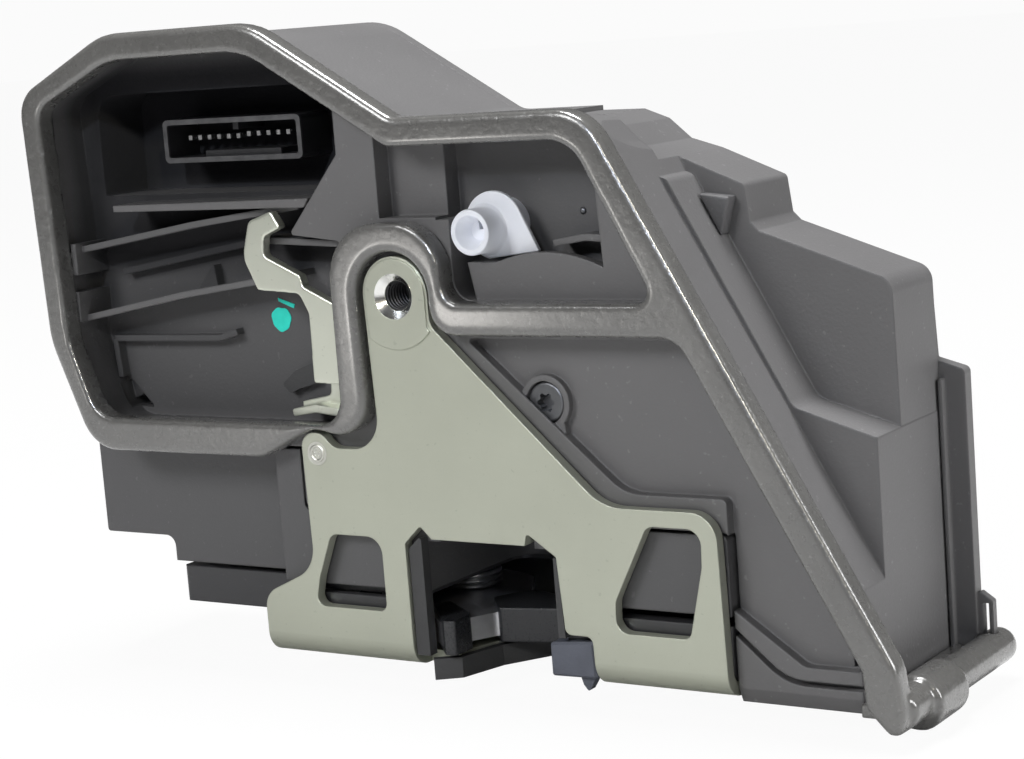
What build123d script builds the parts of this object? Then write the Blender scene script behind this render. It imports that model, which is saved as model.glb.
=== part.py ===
"""Door latch with its actuator housing, built piece by piece at real size.

Millimetres. +X runs along the bottom flange, +Z is up, +Y goes back into the housing. The origin is
the centre of the threaded mounting bore, on the front face of the steel face plate.
"""
import os
from math import cos, radians, sin

from build123d import *

# ---------------------------------------------------------------- driving dimensions
# steel face plate
plate_thickness = 2.0
plate_bend_radius = 4.0
bore_radius = 2.5
bore_chamfer = 1.25
bore_length = 6.0
boss_raise = 0.3
rivet_place = (-18.75, -26.5)
rivet_radius = 1.4
rivet_head_radius = 2.0
pin_head_height = 0.8
tab_depth = 7.0
tab_left = 3.6
tab_right = 21.3
boss_radius = 6.5
plate_left = -32.8
plate_right = 56.9
plate_bottom = -62.2
flange_depth = 36.0
flange_hole_radius = 3.4
flange_hole_left = (-24.0, 31.0)
flange_hole_right = (46.0, 19.0)
slot_left = -2.1
slot_right = 27.5
slot_top = -40.0
slot_depth = 31.0
slot_edge = [(0, 1.0), (3.6, 3.6), (6.0, 12.0), (11.5, 20.5)]
step_right = 33.0
step_top = -54.0

# rim seal and the housing behind it
seal_crown = 1.5
seal_round = 1.0
seal_run_radius = 2.9
seal_run_end = 41.0
sleeve_radius = 4.3
sleeve_front = 7.5
sleeve_back = 18.0
seal_overhang = 1.5
wall = 2.2
floor_thickness = 2.0
housing_front = 2.6
housing_back = 36.0
side_x = 78.0
case_left = -78.0
case_top = 45.4
case_shoulder = 28.75
rim_bottom = -27.5
branch_bottom = -6.3
branch_width = 5.3
leg_width = 4.7
diagonal_slope = 1.785
diagonal_crossing = 54.8
panel_front = 4.6
pocket_floor = 10.6
strip_floor = 6.4
bay_floor = 22.0
bay_left = -70.2
coupler_floor = 10.0
shield_front = 3.4
shield_thickness = 1.8
lever_boss_front = 9.0
screw_head_radius = 3.3
screw_radius = 1.3
low_rib_front = 8.6
bracket_front = 2.4
guide_ribs = [
    ((-74.0, 7.4), (-45.0, 11.8)),
    ((-45.0, 11.8), (-21.5, 14.6)),
    ((-74.0, -4.9), (-48.7, -0.4)),
    ((-48.7, -0.4), (-24.0, 3.0)),
    ((-31.0, 9.0), (-13.0, 8.2)),
]
bracket_ribs = [
    ((-71.8, 9.0), (-71.8, 3.4)),
    ((-72.2, 0.4), (-72.2, -5.0)),
    ((-75.0, 6.9), (-71.8, 6.9)),
    ((-75.0, -3.6), (-72.2, -3.6)),
]
low_ribs = [
    ((-66.0, 3.2), (-33.0, 8.6)),
    ((-69.8, -8.9), (-45.0, -8.6)),
    ((-45.0, -8.6), (-41.0, -7.5)),
    ((-69.8, -8.9), (-69.2, -16.0)),
]
gusset = [(-49.0, -0.2), (-44.8, 4.6), (-44.2, 0.4)]
step_one_front = 12.2
step_two_front = 21.0
rib = 1.1
rib_front = 4.2

# rear cover, lower case and claw tray
cover_thickness = 2.4
cover_flange = 4.2
cover_flange_top = -16.4
parting_gap = 0.5
lower_left = -76.7
lower_front = 9.0
lower_bottom = -49.6
tray_left = -59.3
tray_top = -51.2
tray_side_top = -50.5
tray_inner_back = 38.4
tray_wall = 1.6

# claw and pawl, turning about upright pins
claw_pivot = (-8.0, 27.0)
claw_thickness = 4.0
claw_bottom = -58.8
claw_rim = 18.2
claw_recess = 15.5
claw_hub = 10.4
claw_pin_radius = 3.5
pawl_pivot = (-24.5, 11.0)
pawl_hub = 3.6
pawl_pin_radius = 2.0
claw_wire = 0.55
claw_coil = 4.6
pawl_wire = 0.4
pawl_coil = 2.9
tray_inner_left = -29.6
running_clearance = 0.05
jacket = 0.9

# levers in the open pocket
lever_pivot = (-16.8, -9.6)
lever_sheet = 2.0
lever_front = 1.6
lever_pin_radius = 1.6
lever_hub = 3.0
lever_wire = 0.4
lever_coil = 3.6
inner_hub_back = 6.2
outer_lever_front = 6.6

# lock coupler
coupler_pivot = (16.6, 10.6)
coupler_radius = 5.5
coupler_front = 5.6
coupler_back = 9.9
coupler_pin_radius = 1.75
nipple_centre = (15.0, 10.0)
nipple_radius = 3.7
nipple_front = 1.0

# motor and gears
motor_axis = (24.6, 1.2)
motor_radius = 10.0
motor_flat = 7.8
motor_length = 24.0
motor_left = -67.0
shaft_radius = 1.0
worm_length = 13.0
worm_radius = 2.9
worm_gap = 0.35
wheel_radius = 9.0
wheel_thickness = 5.0
wheel_teeth = 24
tooth_height = 1.3
tooth_foot = 1.6
axle_radius = 1.5

# connector in the bay
socket_width = 31.0
socket_height = 7.6
socket_wall = 0.9
socket_centre = (-42.3, 25.7)
socket_depth = 8.5
terminal_pitch = 2.2
terminal_count = 12

step_file_folder = "parts"
finished = []

motor_right = motor_left + motor_length
worm_left = motor_right + 2.4
worm_right = worm_left + worm_length + 1.2
wheel_centre = (worm_left + 0.5 * worm_length, motor_axis[1] - worm_radius - worm_gap - wheel_radius)
wheel_front = motor_axis[0] - 0.5 * wheel_thickness
motor_saddles = (motor_left + 4, motor_right - 6)
post_radius = 3.2
screw_length = 11.0
screw_head = 1.8
cover_posts = (
    (-64.0, 37.0, bay_floor),
    (-22.0, 37.6, bay_floor),
    (70.4, -8.0, step_two_front),
    (-69.0, -17.0, pocket_floor),
    (69.0, -50.0, panel_front),
    (-6.0, -30.0, panel_front),
)
board_back = 31.0
board_thickness = 1.6
board_posts = ((-7.0, 2.0), (-7.0, 20.0), (26.0, 20.0), (34.0, 2.0))


def at_depth(y):
    """Upright plane facing the front, y behind the face plate's front."""
    return Plane.XZ.offset(-y)


def at_height(z):
    return Plane.XY.offset(z)


def finish(label, built):
    """Label one finished piece and keep it for export."""
    built.part.label = label
    finished.append((label, built.part))


def diagonal_x(z, inset=0.0):
    """X of the diagonal rim's outer edge at height z, moved inward by inset across the rim."""
    run = (1 + diagonal_slope**2) ** 0.5
    return diagonal_crossing - z / diagonal_slope - inset * run / diagonal_slope


def ring_point(centre, radius, angle):
    """Point at an angle in degrees round a centre."""
    return (centre[0] + radius * cos(radians(angle)), centre[1] + radius * sin(radians(angle)))


def rounded(*corners):
    """Edges of a closed outline. Each corner is x, y and the radius it is rounded to."""
    with BuildLine() as path:
        FilletPolyline(*[corner[:2] for corner in corners], radius=[c[2] for c in corners], close=True)
    return path.edges()


def rim_corners(inset, bottom_inset):
    """Rim outline from its lower left corner clockwise to the top of the diagonal, moved inward."""
    return [
        (-68.5 + 0.4 * inset, rim_bottom + bottom_inset, 8 - 0.5 * inset),
        (case_left + 1.7 + inset, -8, 15),
        (case_left + inset, 35.5 - 0.5 * inset, 6 - 0.5 * inset),
        (-57 + 0.2 * inset, case_top - inset, 14),
        (-24.8 - 0.28 * inset, case_top - inset, 15),
        (2.9 - 0.28 * inset, case_shoulder - inset, 4),
        (diagonal_x(case_shoulder - inset, inset), case_shoulder - inset, 9 - 0.5 * inset),
    ]


seal_gap = 0.8
boss_inner = boss_radius + seal_gap
boss_outer = boss_inner + leg_width
branch_top = branch_bottom + branch_width
leg_right = boss_outer - 1.9
seal_top_width = 4.6
seal_bottom_width = 6.0
diagonal_width = 5.4
case_bottom = -57.4
case_foot = -63.1
case_waist = -36.5
cover_foot = case_foot + 0.4
clip_foot = case_bottom + 0.6
buffer_front = 0.8
buffer_back = 8.0
buffer_lip_back = 4.4
buffer_corners = [
    (slot_right - 3.2, -55.8, 0.6),
    (step_right - 0.5, -55.1, 0.6),
    (step_right - 0.2, -60.0, 0.4),
    (slot_right - 3.2, -60.0, 0.4),
]
claw_top = claw_bottom + claw_thickness
web_corner = (-11.3, 23.0)
web_tip = (-22.5, 10.0)
bay_sill = 15.6
pocket_right = -boss_outer
pocket_inset = seal_top_width - 1.2
pocket_bottom_inset = seal_bottom_width - 1.6
screw_boss = (25.3, -17.4)
foot_x = diagonal_x(case_bottom)
seal_run_centre = (foot_x - 2.6, case_foot + 1.7)
foot_step = (57.2, -49.5)
inner_top = case_shoulder - seal_top_width
shoulder_corners = [
    (36.8, 21.7, 2),
    (53.5, 14.7, 1),
    (54.2, 8.8, 0.4),
    (55.6, 7.4, 0.4),
    (side_x - 0.4, -0.4, 3),
]

# ---------------------------------------------------------------- rim seal
with BuildPart() as rim_seal:
    with BuildSketch(at_depth(housing_front)):
        make_face(rounded(
            *rim_corners(0, 0),
            (diagonal_x(-54.3), -54.3, 6),
            (foot_x - 0.7, case_foot + 1.3, 2.5),
            (foot_x - 1.6, case_foot - 1.5, 1.2),
            (foot_x - 3.4, case_foot - 1.5, 1.2),
            (foot_x - 7.0, case_foot + 2.3, 2.0),
            (diagonal_x(-55.3, diagonal_width), -55.3, 2),
            (diagonal_x(branch_bottom, diagonal_width), branch_bottom, 5),
            (boss_inner, branch_bottom, 4.8),
            (boss_inner, boss_inner, 7.1),
            (-boss_inner, boss_inner, 7.1),
            (-boss_radius, -24.7, 6.4),
            (-18.5, -22.1, 5),
            (-29.5, rim_bottom, 6),
        ))
        make_face(rounded(
            *rim_corners(seal_top_width, seal_bottom_width),
            (diagonal_x(branch_top, diagonal_width), branch_top, 2),
            (leg_right, branch_top, 3.5),
            (leg_right, boss_outer, 8.5),
            (-boss_outer, boss_outer, 9.5),
            (-boss_outer, rim_bottom + seal_bottom_width, 5),
        ), mode=Mode.SUBTRACT)
    extrude(amount=housing_front + seal_crown)
    fillet(rim_seal.faces().sort_by(Axis.Y)[0].outer_wire().edges(), radius=seal_round)
    # the seal turns the lower corner and runs back along the bottom edge
    with BuildSketch(at_depth(seal_run_end)):
        with Locations(seal_run_centre):
            Circle(seal_run_radius)
    extrude(amount=seal_run_end - 1.2)
    fillet(rim_seal.faces().sort_by(Axis.Y)[-1].edges(), radius=1.6)
    # sleeve over the first stretch, and the strip that joins the run to the case
    with BuildSketch(at_depth(sleeve_back)):
        with Locations((seal_run_centre[0] - 0.2, seal_run_centre[1] - 0.6)):
            Circle(sleeve_radius)
    extrude(amount=sleeve_back - sleeve_front)
    with BuildSketch(at_depth(housing_back - 0.2)):
        with Locations((0.5 * (side_x + 0.1 + seal_run_centre[0]), seal_run_centre[1] - 0.4)):
            Rectangle(seal_run_centre[0] - side_x - 0.1, 2.4)
    extrude(amount=housing_back - 1.4)
    # groove that the clip of the rear cover sits in
    with BuildSketch(at_depth(housing_back + cover_thickness)):
        with Locations((seal_run_centre[0] - 1.6, clip_foot - 1.0)):
            Rectangle(4.4, 13.6)
    extrude(amount=2.4, mode=Mode.SUBTRACT)
finish("rim_seal", rim_seal)

# ---------------------------------------------------------------- front housing
with BuildPart() as front_housing:
    # main block behind the rim and the plate
    with BuildSketch(at_depth(housing_back)):
        make_face(rounded(
            *rim_corners(seal_overhang, seal_overhang),
            (side_x, (diagonal_x(0, seal_overhang) - side_x) * diagonal_slope, 0),
            (side_x, case_foot, 0),
            (foot_step[0], case_foot, 0),
            (foot_step[0], case_waist, 1),
            (-24.0, case_waist, 1),
            (-24.0, rim_bottom + seal_overhang, 0),
        ))
    extrude(amount=housing_back - housing_front)
    # two steps back on the right
    with BuildSketch(at_depth(housing_back)):
        make_face(rounded(
            (36.0, 20.0, 0),
            (44.9, 16.5, 1.5),
            (64.3, -18.6, 2.5),
            (side_x, -22.9, 0),
            (side_x, -46.0, 0),
            (60.0, -15.0, 0),
        ))
    extrude(amount=housing_back - step_one_front)
    with BuildSketch(at_depth(housing_back)):
        make_face(rounded((30.0, 18.0, 0), *shoulder_corners, (side_x, -30.0, 0), (60.0, -20.0, 0)))
    extrude(amount=housing_back - step_two_front)
    # the top right shoulder falls away towards the back
    with BuildSketch(at_depth(seal_overhang + housing_front)) as shoulder_front:
        make_face(rounded(
            (20.0, case_shoulder - 1.4, 0), (33.0, case_shoulder - 1.4, 0), (37.4, 26.5, 0), (40.6, 23.1, 0),
            (43.2, 20.0, 0), (60.0, 30.0, 0), (60.0, 40.0, 0), (20.0, 40.0, 0)
        ))
    with BuildSketch(at_depth(housing_back + 0.5)) as shoulder_back:
        make_face(rounded(
            (20.0, case_shoulder - 2.3, 0), (28.0, case_shoulder - 2.4, 0), (32.6, 24.6, 0), (36.5, 21.2, 0),
            (42.5, 19.35, 0), (60.0, 30.0, 0), (60.0, 40.0, 0), (20.0, 40.0, 0)
        ))
    loft(sections=[shoulder_front.sketch, shoulder_back.sketch], ruled=True, mode=Mode.SUBTRACT)
    # the front lower edge slopes back below a crease
    with BuildSketch(Plane.YZ.offset(foot_step[0])):
        make_face(rounded(
            (housing_front - 1, case_foot + 2.4, 0),
            (housing_front, case_foot + 2.4, 0),
            (housing_front + 1.5, case_foot - 1, 0),
            (housing_front - 1, case_foot - 1, 0),
        ))
    extrude(amount=side_x - foot_step[0] + 1, mode=Mode.SUBTRACT)

    # hollow behind, open at the back
    with BuildSketch(at_depth(housing_back)):
        make_face(rounded(
            *rim_corners(seal_overhang + wall, seal_overhang + wall)[:6],
            (27.0, case_shoulder - seal_overhang - wall, 4),
            (36.0, 19.4, 1),
            (51.6, 13.0, 0),
            (52.2, 7.2, 0),
            (54.4, 5.4, 0),
            (side_x - wall, -2.0, 1),
            (side_x - wall, case_foot + wall, 0),
            (foot_step[0] + wall, case_foot + wall, 0),
            (foot_step[0] + wall, case_waist + wall, 0),
            (-24.0 + wall, case_waist + wall, 0),
            (-24.0 + wall, rim_bottom + seal_overhang + wall, 0),
        ))
    extrude(amount=housing_back - bay_floor - floor_thickness, mode=Mode.SUBTRACT)
    with BuildSketch(at_depth(housing_back - 6)):
        make_face(rounded(
            (-66.0, -23.6, 4), (-73.6, -8, 6), (-73.8, 12.4, 1), (-14.5, 12.4, 1), (-14.5, -23.6, 1)
        ))
        make_face(rounded((-11.2, 24.0, 1), (30.0, 24.0, 4), (47.0, -4.5, 2), (-11.2, -4.5, 1)))
    extrude(amount=housing_back - 6 - pocket_floor - floor_thickness, mode=Mode.SUBTRACT)
    with BuildSketch(at_depth(housing_back - 6)):
        make_face(rounded(
            (-11.2, -6.8, 1),
            (48.4, -6.8, 2),
            (73.0, -50.6, 1),
            (73.0, case_foot + wall, 1),
            (59.4, case_foot + wall, 1),
            (59.4, case_waist + wall, 1),
            (-11.2, case_waist + wall, 1),
        ))
    extrude(amount=housing_back - 6 - panel_front - floor_thickness, mode=Mode.SUBTRACT)
    with BuildSketch(at_depth(housing_back - 6)):
        make_face(rounded(
            (46.0, 12.0, 1),
            (63.0, -20.4, 1),
            (side_x - wall, -24.8, 1),
            (side_x - wall, -50.0, 1),
            (56.0, -16.0, 1),
        ))
    extrude(amount=housing_back - 6 - step_one_front - floor_thickness, mode=Mode.SUBTRACT)

    # open pocket on the left, with the deep connector bay in its upper half
    with BuildSketch(at_depth(pocket_floor)):
        make_face(rounded(
            *rim_corners(pocket_inset, pocket_bottom_inset)[:4],
            (-27.6, case_top - pocket_inset, 12),
            (web_corner[0], 31.9, 0),
            (*web_corner, 0),
            (*web_tip, 0.5),
            (pocket_right, web_tip[1] - 1.2, 1),
            (pocket_right, rim_bottom + pocket_bottom_inset, 5),
        ))
    extrude(amount=pocket_floor, mode=Mode.SUBTRACT)
    with BuildSketch(at_depth(bay_floor)):
        make_face(rounded(
            (bay_left, bay_sill + rib, 0.5),
            (bay_left, 34.6, 4),
            (-22.0, 34.6, 4),
            (web_corner[0] - 1.0, 29.0, 2),
            (web_corner[0] - 1.0, bay_sill + rib, 0.5),
        ))
    extrude(amount=bay_floor - pocket_floor + 1, mode=Mode.SUBTRACT)
    # sill of the bay, and the ribs that guide the release cable to the hook lever
    with BuildSketch(at_depth(pocket_floor + 0.2)):
        make_face(rounded(
            (-61.4, bay_sill, 0),
            (-18.0, bay_sill + 0.4, 0),
            (-19.0, bay_sill - rib, 0),
            (-61.4, bay_sill - rib, 0),
        ))
    extrude(amount=pocket_floor + 0.2 - housing_front)
    with BuildSketch(at_depth(pocket_floor + 0.2)):
        for start, end in guide_ribs:
            with BuildLine() as centre_line:
                Line(start, end)
            trace(centre_line.edges(), line_width=rib)
    extrude(amount=pocket_floor + 0.2 - rib_front)
    with BuildSketch(at_depth(pocket_floor + 0.2)):
        for start, end in bracket_ribs:
            with BuildLine() as centre_line:
                Line(start, end)
            trace(centre_line.edges(), line_width=rib)
    extrude(amount=pocket_floor + 0.2 - bracket_front)
    with BuildSketch(at_depth(pocket_floor + 0.2)):
        for start, end in low_ribs:
            with BuildLine() as centre_line:
                Line(start, end)
            trace(centre_line.edges(), line_width=rib)
        make_face(rounded(*[(*corner, 0.2) for corner in gusset]))
    extrude(amount=pocket_floor + 0.2 - low_rib_front)
    # drain opening in the lower corner of the floor
    with BuildSketch(at_depth(pocket_floor + 4)):
        make_face(rounded((-68.6, -21.4, 0.8), (-69.9, -15.4, 0.6), (-63.2, -21.9, 0.4)))
    extrude(amount=6, mode=Mode.SUBTRACT)
    # boss for the lever pin
    with BuildSketch(at_depth(pocket_floor + 0.2)):
        with Locations(lever_pivot):
            Circle(lever_hub)
    extrude(amount=pocket_floor + 0.2 - lever_boss_front)
    with BuildSketch(at_depth(pocket_floor + floor_thickness)):
        with Locations(lever_pivot):
            Circle(lever_pin_radius)
    extrude(amount=pocket_floor, mode=Mode.SUBTRACT)

    # recess in the web and the pocket of the lock coupler
    with BuildSketch(at_depth(strip_floor)):
        make_face(rounded(
            (-3.6, boss_outer + 0.4, 0), (-3.6, 27.2, 0), (2.4, 24.2, 2), (7.5, 24.2, 0), (7.5, boss_outer + 0.4, 0)
        ))
    extrude(amount=strip_floor, mode=Mode.SUBTRACT)
    with BuildSketch(at_depth(coupler_floor)):
        make_face(rounded(
            (7.5, inner_top, 0),
            (diagonal_x(inner_top, diagonal_width), inner_top, 7),
            (diagonal_x(branch_top, diagonal_width), branch_top, 2),
            (leg_right, branch_top, 3.5),
            (leg_right, boss_outer, 0),
            (7.5, boss_outer, 0),
        ))
    extrude(amount=coupler_floor, mode=Mode.SUBTRACT)
    with BuildSketch(at_depth(shield_front + shield_thickness)):
        with BuildLine():
            Polyline(
                (18.1, 5.0),
                (12.6, 5.0),
                (14.0, branch_top - 1),
                (diagonal_x(branch_top, diagonal_width) + 1, branch_top - 1),
                (diagonal_x(17.0, diagonal_width) + 1, 17.0),
                (37.2, 17.0),
                (37.8, 4.1),
            )
            ThreePointArc((37.8, 4.1), (27.0, 6.5), (18.1, 5.0))
        make_face()
    extrude(amount=shield_thickness)
    # low rib behind the slit that the shield leaves on the right
    with BuildSketch(at_depth(coupler_floor + 0.2)):
        for start, end in (((27.6, 7.6), (33.4, 8.5)), ((33.4, 8.5), (38.4, 8.2))):
            with BuildLine() as centre_line:
                Line(start, end)
            trace(centre_line.edges(), line_width=rib)
    extrude(amount=coupler_floor + 0.2 - shield_front - shield_thickness - 0.4)
    with BuildSketch(at_depth(coupler_floor + floor_thickness)):
        with Locations(coupler_pivot):
            Circle(coupler_pin_radius)
    extrude(amount=coupler_floor + floor_thickness - coupler_front - 1.0)

    # shallow triangular panel beside the plate, with its screw boss
    with BuildSketch(at_depth(panel_front)):
        make_face(rounded(
            (11.4, branch_bottom - 0.8, 0.5),
            (diagonal_x(branch_bottom, diagonal_width) - 0.8, branch_bottom - 0.8, 3),
            (diagonal_x(-55.6, diagonal_width) - 0.8, -56.5, 1),
            (68.6, -56.5, 3),
            (foot_step[0] - 0.2, -48.4, 0),
            (foot_step[0] - 0.2, -31.3, 1),
            (39.2, -31.3, 8),
        ))
    extrude(amount=panel_front, mode=Mode.SUBTRACT)
    # narrow slit in the corner of the panel, and the curved groove below its lip
    with BuildSketch(at_depth(panel_front + 1.4)):
        with Locations((76.3, -54.2)):
            Rectangle(0.8, 4.0)
    extrude(amount=panel_front, mode=Mode.SUBTRACT)
    with BuildSketch(at_depth(housing_front + 1.7)):
        with BuildLine() as groove_line:
            FilletPolyline((foot_step[0] - 0.8, -51.2), (65.5, -59.0), (side_x + 0.5, -59.0), radius=9)
        trace(groove_line.edges(), line_width=0.9)
    extrude(amount=housing_front, mode=Mode.SUBTRACT)
    with BuildSketch(at_depth(panel_front + 0.1)):
        with Locations(screw_boss):
            Circle(screw_head_radius + 1.2)
        make_face(rounded((28.6, -20.4, 0.2), (29.6, -26.6, 0.2), (25.0, -21.6, 0.2)))
    extrude(amount=1.4)
    with BuildSketch(at_depth(panel_front + 1.6)):
        with Locations(screw_boss):
            Circle(screw_head_radius + 0.2)
    extrude(amount=3.2, mode=Mode.SUBTRACT)
    with BuildSketch(at_depth(panel_front + floor_thickness + 1)):
        with Locations(screw_boss):
            Circle(screw_radius)
    extrude(amount=4, mode=Mode.SUBTRACT)
    # clearance round the plate's threaded collar and its rivet
    with BuildSketch(at_depth(bore_length + 0.6)):
        Circle(bore_radius + 1.6 + 0.4)
    extrude(amount=bore_length, mode=Mode.SUBTRACT)
    with BuildSketch(at_depth(lower_front)):
        with Locations(rivet_place):
            Circle(rivet_radius)
    extrude(amount=lower_front, mode=Mode.SUBTRACT)

    # posts for the cover screws, the circuit board and the gear axle
    for post_x, post_z, post_floor in cover_posts:
        with BuildSketch(at_depth(housing_back)):
            with Locations((post_x, post_z)):
                Circle(post_radius)
        extrude(amount=housing_back - post_floor - 1)
        with BuildSketch(at_depth(housing_back)):
            with Locations((post_x, post_z)):
                Circle(screw_radius)
        extrude(amount=screw_length, mode=Mode.SUBTRACT)
    with BuildSketch(at_depth(board_back)):
        with Locations(*board_posts):
            Circle(2.0)
    extrude(amount=board_back - pocket_floor - 1)
    with BuildSketch(at_depth(wheel_front - 0.4)):
        with Locations(wheel_centre):
            Circle(axle_radius + 2)
    extrude(amount=wheel_front - 0.4 - pocket_floor - 1)
    with BuildSketch(at_depth(wheel_front)):
        with Locations(wheel_centre):
            Circle(axle_radius)
    extrude(amount=wheel_front - pocket_floor - floor_thickness, mode=Mode.SUBTRACT)
    # saddles under the motor and the bearing of the worm
    for saddle in motor_saddles:
        with BuildSketch(Plane.YZ.offset(saddle)):
            with Locations((0.5 * (pocket_floor + 1 + motor_axis[0]), motor_axis[1])):
                Rectangle(motor_axis[0] - pocket_floor - 1, 2 * motor_radius)
            with Locations(motor_axis):
                Circle(motor_radius, mode=Mode.SUBTRACT)
        extrude(amount=2.0)
    with BuildSketch(Plane.YZ.offset(worm_right)):
        with Locations((0.5 * (pocket_floor + 1 + motor_axis[0] + 3), motor_axis[1])):
            Rectangle(motor_axis[0] + 3 - pocket_floor - 1, 6.0)
        with Locations(motor_axis):
            Circle(shaft_radius + running_clearance, mode=Mode.SUBTRACT)
    extrude(amount=2.2)
finish("front_housing", front_housing)

# ---------------------------------------------------------------- steel face plate
with BuildPart() as face_plate:
    # bent sheet, cut to its outline seen from the front
    with BuildSketch(Plane.YZ.offset(plate_left)):
        make_face(rounded(
            (0, 20, 0),
            (0, plate_bottom, plate_bend_radius),
            (flange_depth, plate_bottom, 0),
            (flange_depth, plate_bottom + plate_thickness, 0),
            (plate_thickness, plate_bottom + plate_thickness, plate_bend_radius - plate_thickness),
            (plate_thickness, 20, 0),
        ))
    extrude(amount=plate_right - plate_left)
    with BuildSketch(at_depth(flange_depth + 1)):
        make_face(rounded(
            (-boss_radius, boss_radius, boss_radius - 0.1),
            (boss_radius, boss_radius, boss_radius - 0.1),
            (boss_radius, -4.7, 3),
            (36.5, -33.0, 9),
            (56.3, -33.0, 4.5),
            (plate_right, plate_bottom - 1, 0),
            (plate_left, plate_bottom - 1, 0),
            (plate_left, -51.6, 4),
            (-21.4, -46.4, 6),
            (-21.9, -23.0, 2.6),
            (-17.6, -23.0, 3),
            (-15.2, -25.5, 3),
            (-5.4, -25.5, 5.5),
        ))
    extrude(amount=flange_depth + 3, mode=Mode.INTERSECT)
    # flange corners
    with BuildSketch(at_height(plate_bottom - 1)):
        make_face(rounded(
            (plate_left, -1, 0), (plate_right, -1, 0), (plate_right, flange_depth, 5), (plate_left, flange_depth, 5)
        ))
    extrude(amount=80, mode=Mode.INTERSECT)
    # raised ring and threaded collar of the mounting bore
    with BuildSketch(at_depth(0)):
        Circle(boss_radius + 2.2)
        make_face(rounded(
            (-boss_radius + 0.4, boss_radius - 0.4, boss_radius - 0.6),
            (boss_radius - 0.4, boss_radius - 0.4, boss_radius - 0.6),
            (boss_radius - 0.4, -5.2, 1),
            (boss_radius + 6.2, -11.0, 0),
            (-5.2, -11.0, 0),
        ), mode=Mode.INTERSECT)
    extrude(amount=boss_raise)
    with BuildSketch(at_depth(bore_length)):
        Circle(bore_radius + 1.6)
    extrude(amount=bore_length - 1)
    with BuildSketch(at_depth(bore_length + 1)):
        Circle(bore_radius)
    extrude(amount=bore_length + 3, mode=Mode.SUBTRACT)
    with BuildSketch(at_depth(-boss_raise)) as chamfer_mouth:
        Circle(bore_radius + bore_chamfer)
    with BuildSketch(at_depth(bore_chamfer - boss_raise)) as chamfer_foot:
        Circle(bore_radius)
    loft(sections=[chamfer_mouth.sketch, chamfer_foot.sketch], mode=Mode.SUBTRACT)
    # striker opening with its relief notches, and the slot that carries on along the flange
    with BuildSketch(at_depth(plate_bend_radius + 1)):
        make_face(rounded(
            (slot_left, plate_bottom - 1, 0),
            (slot_left, -41.0, 0.5),
            (1.25, -37.9, 0.5),
            (3.4, slot_top, 0),
            (21.5, slot_top, 0),
            (22.0, -37.9, 0.5),
            (27.3, -41.5, 0.6),
            (28.1, step_top, 1.2),
            (step_right, step_top, 1.2),
            (step_right + 0.3, plate_bottom - 1, 0),
        ))
    extrude(amount=plate_bend_radius + 3, mode=Mode.SUBTRACT)
    with BuildSketch(at_height(plate_bottom - 1)):
        make_face(rounded(
            (0, -1, 0),
            *[(*corner, 1.5) for corner in slot_edge],
            (18.5, slot_depth, 3),
            (slot_right - 0.5, slot_depth, 4),
            (slot_right - 0.5, -1, 0),
        ))
    extrude(amount=plate_thickness + 2, mode=Mode.SUBTRACT)
    # stiffening tab turned in at the top of the opening
    with BuildSketch(Plane.YZ.offset(tab_left)):
        make_face(rounded(
            (0, slot_top + plate_thickness + 3, 0),
            (0, slot_top, plate_thickness + 0.2),
            (tab_depth, slot_top, 0),
            (tab_depth, slot_top + plate_thickness, 0),
            (plate_thickness, slot_top + plate_thickness, 0.2),
            (plate_thickness, slot_top + plate_thickness + 3, 0),
        ))
    extrude(amount=tab_right - tab_left)
    # windows
    with BuildSketch(at_depth(plate_thickness + 1)):
        make_face(rounded(
            (-17.4, -40.25, 2), (-6.9, -40.25, 3), (-6.9, -52.9, 1.5), (-21.8, -52.9, 1.6), (-20.6, -48.0, 2)
        ))
        make_face(rounded(
            (44.2, -35.6, 2),
            (53.7, -35.6, 2.5),
            (53.5, -41.5, 3),
            (50.7, -53.0, 1.5),
            (37.5, -53.0, 2.2),
            (37.7, -48.0, 3),
        ))
    extrude(amount=plate_thickness + 3, mode=Mode.SUBTRACT)
    # bolt holes, pin holes and the rivet hole
    with BuildSketch(at_height(plate_bottom - 1)):
        with Locations(flange_hole_left, flange_hole_right):
            Circle(flange_hole_radius)
        with Locations(claw_pivot):
            Circle(claw_pin_radius)
        with Locations(pawl_pivot):
            Circle(pawl_pin_radius)
    extrude(amount=plate_thickness + 2, mode=Mode.SUBTRACT)
    with BuildSketch(at_depth(plate_thickness + 1)):
        with Locations(rivet_place):
            Circle(rivet_head_radius)
    extrude(amount=plate_thickness + 2, mode=Mode.SUBTRACT)
finish("face_plate", face_plate)

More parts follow.
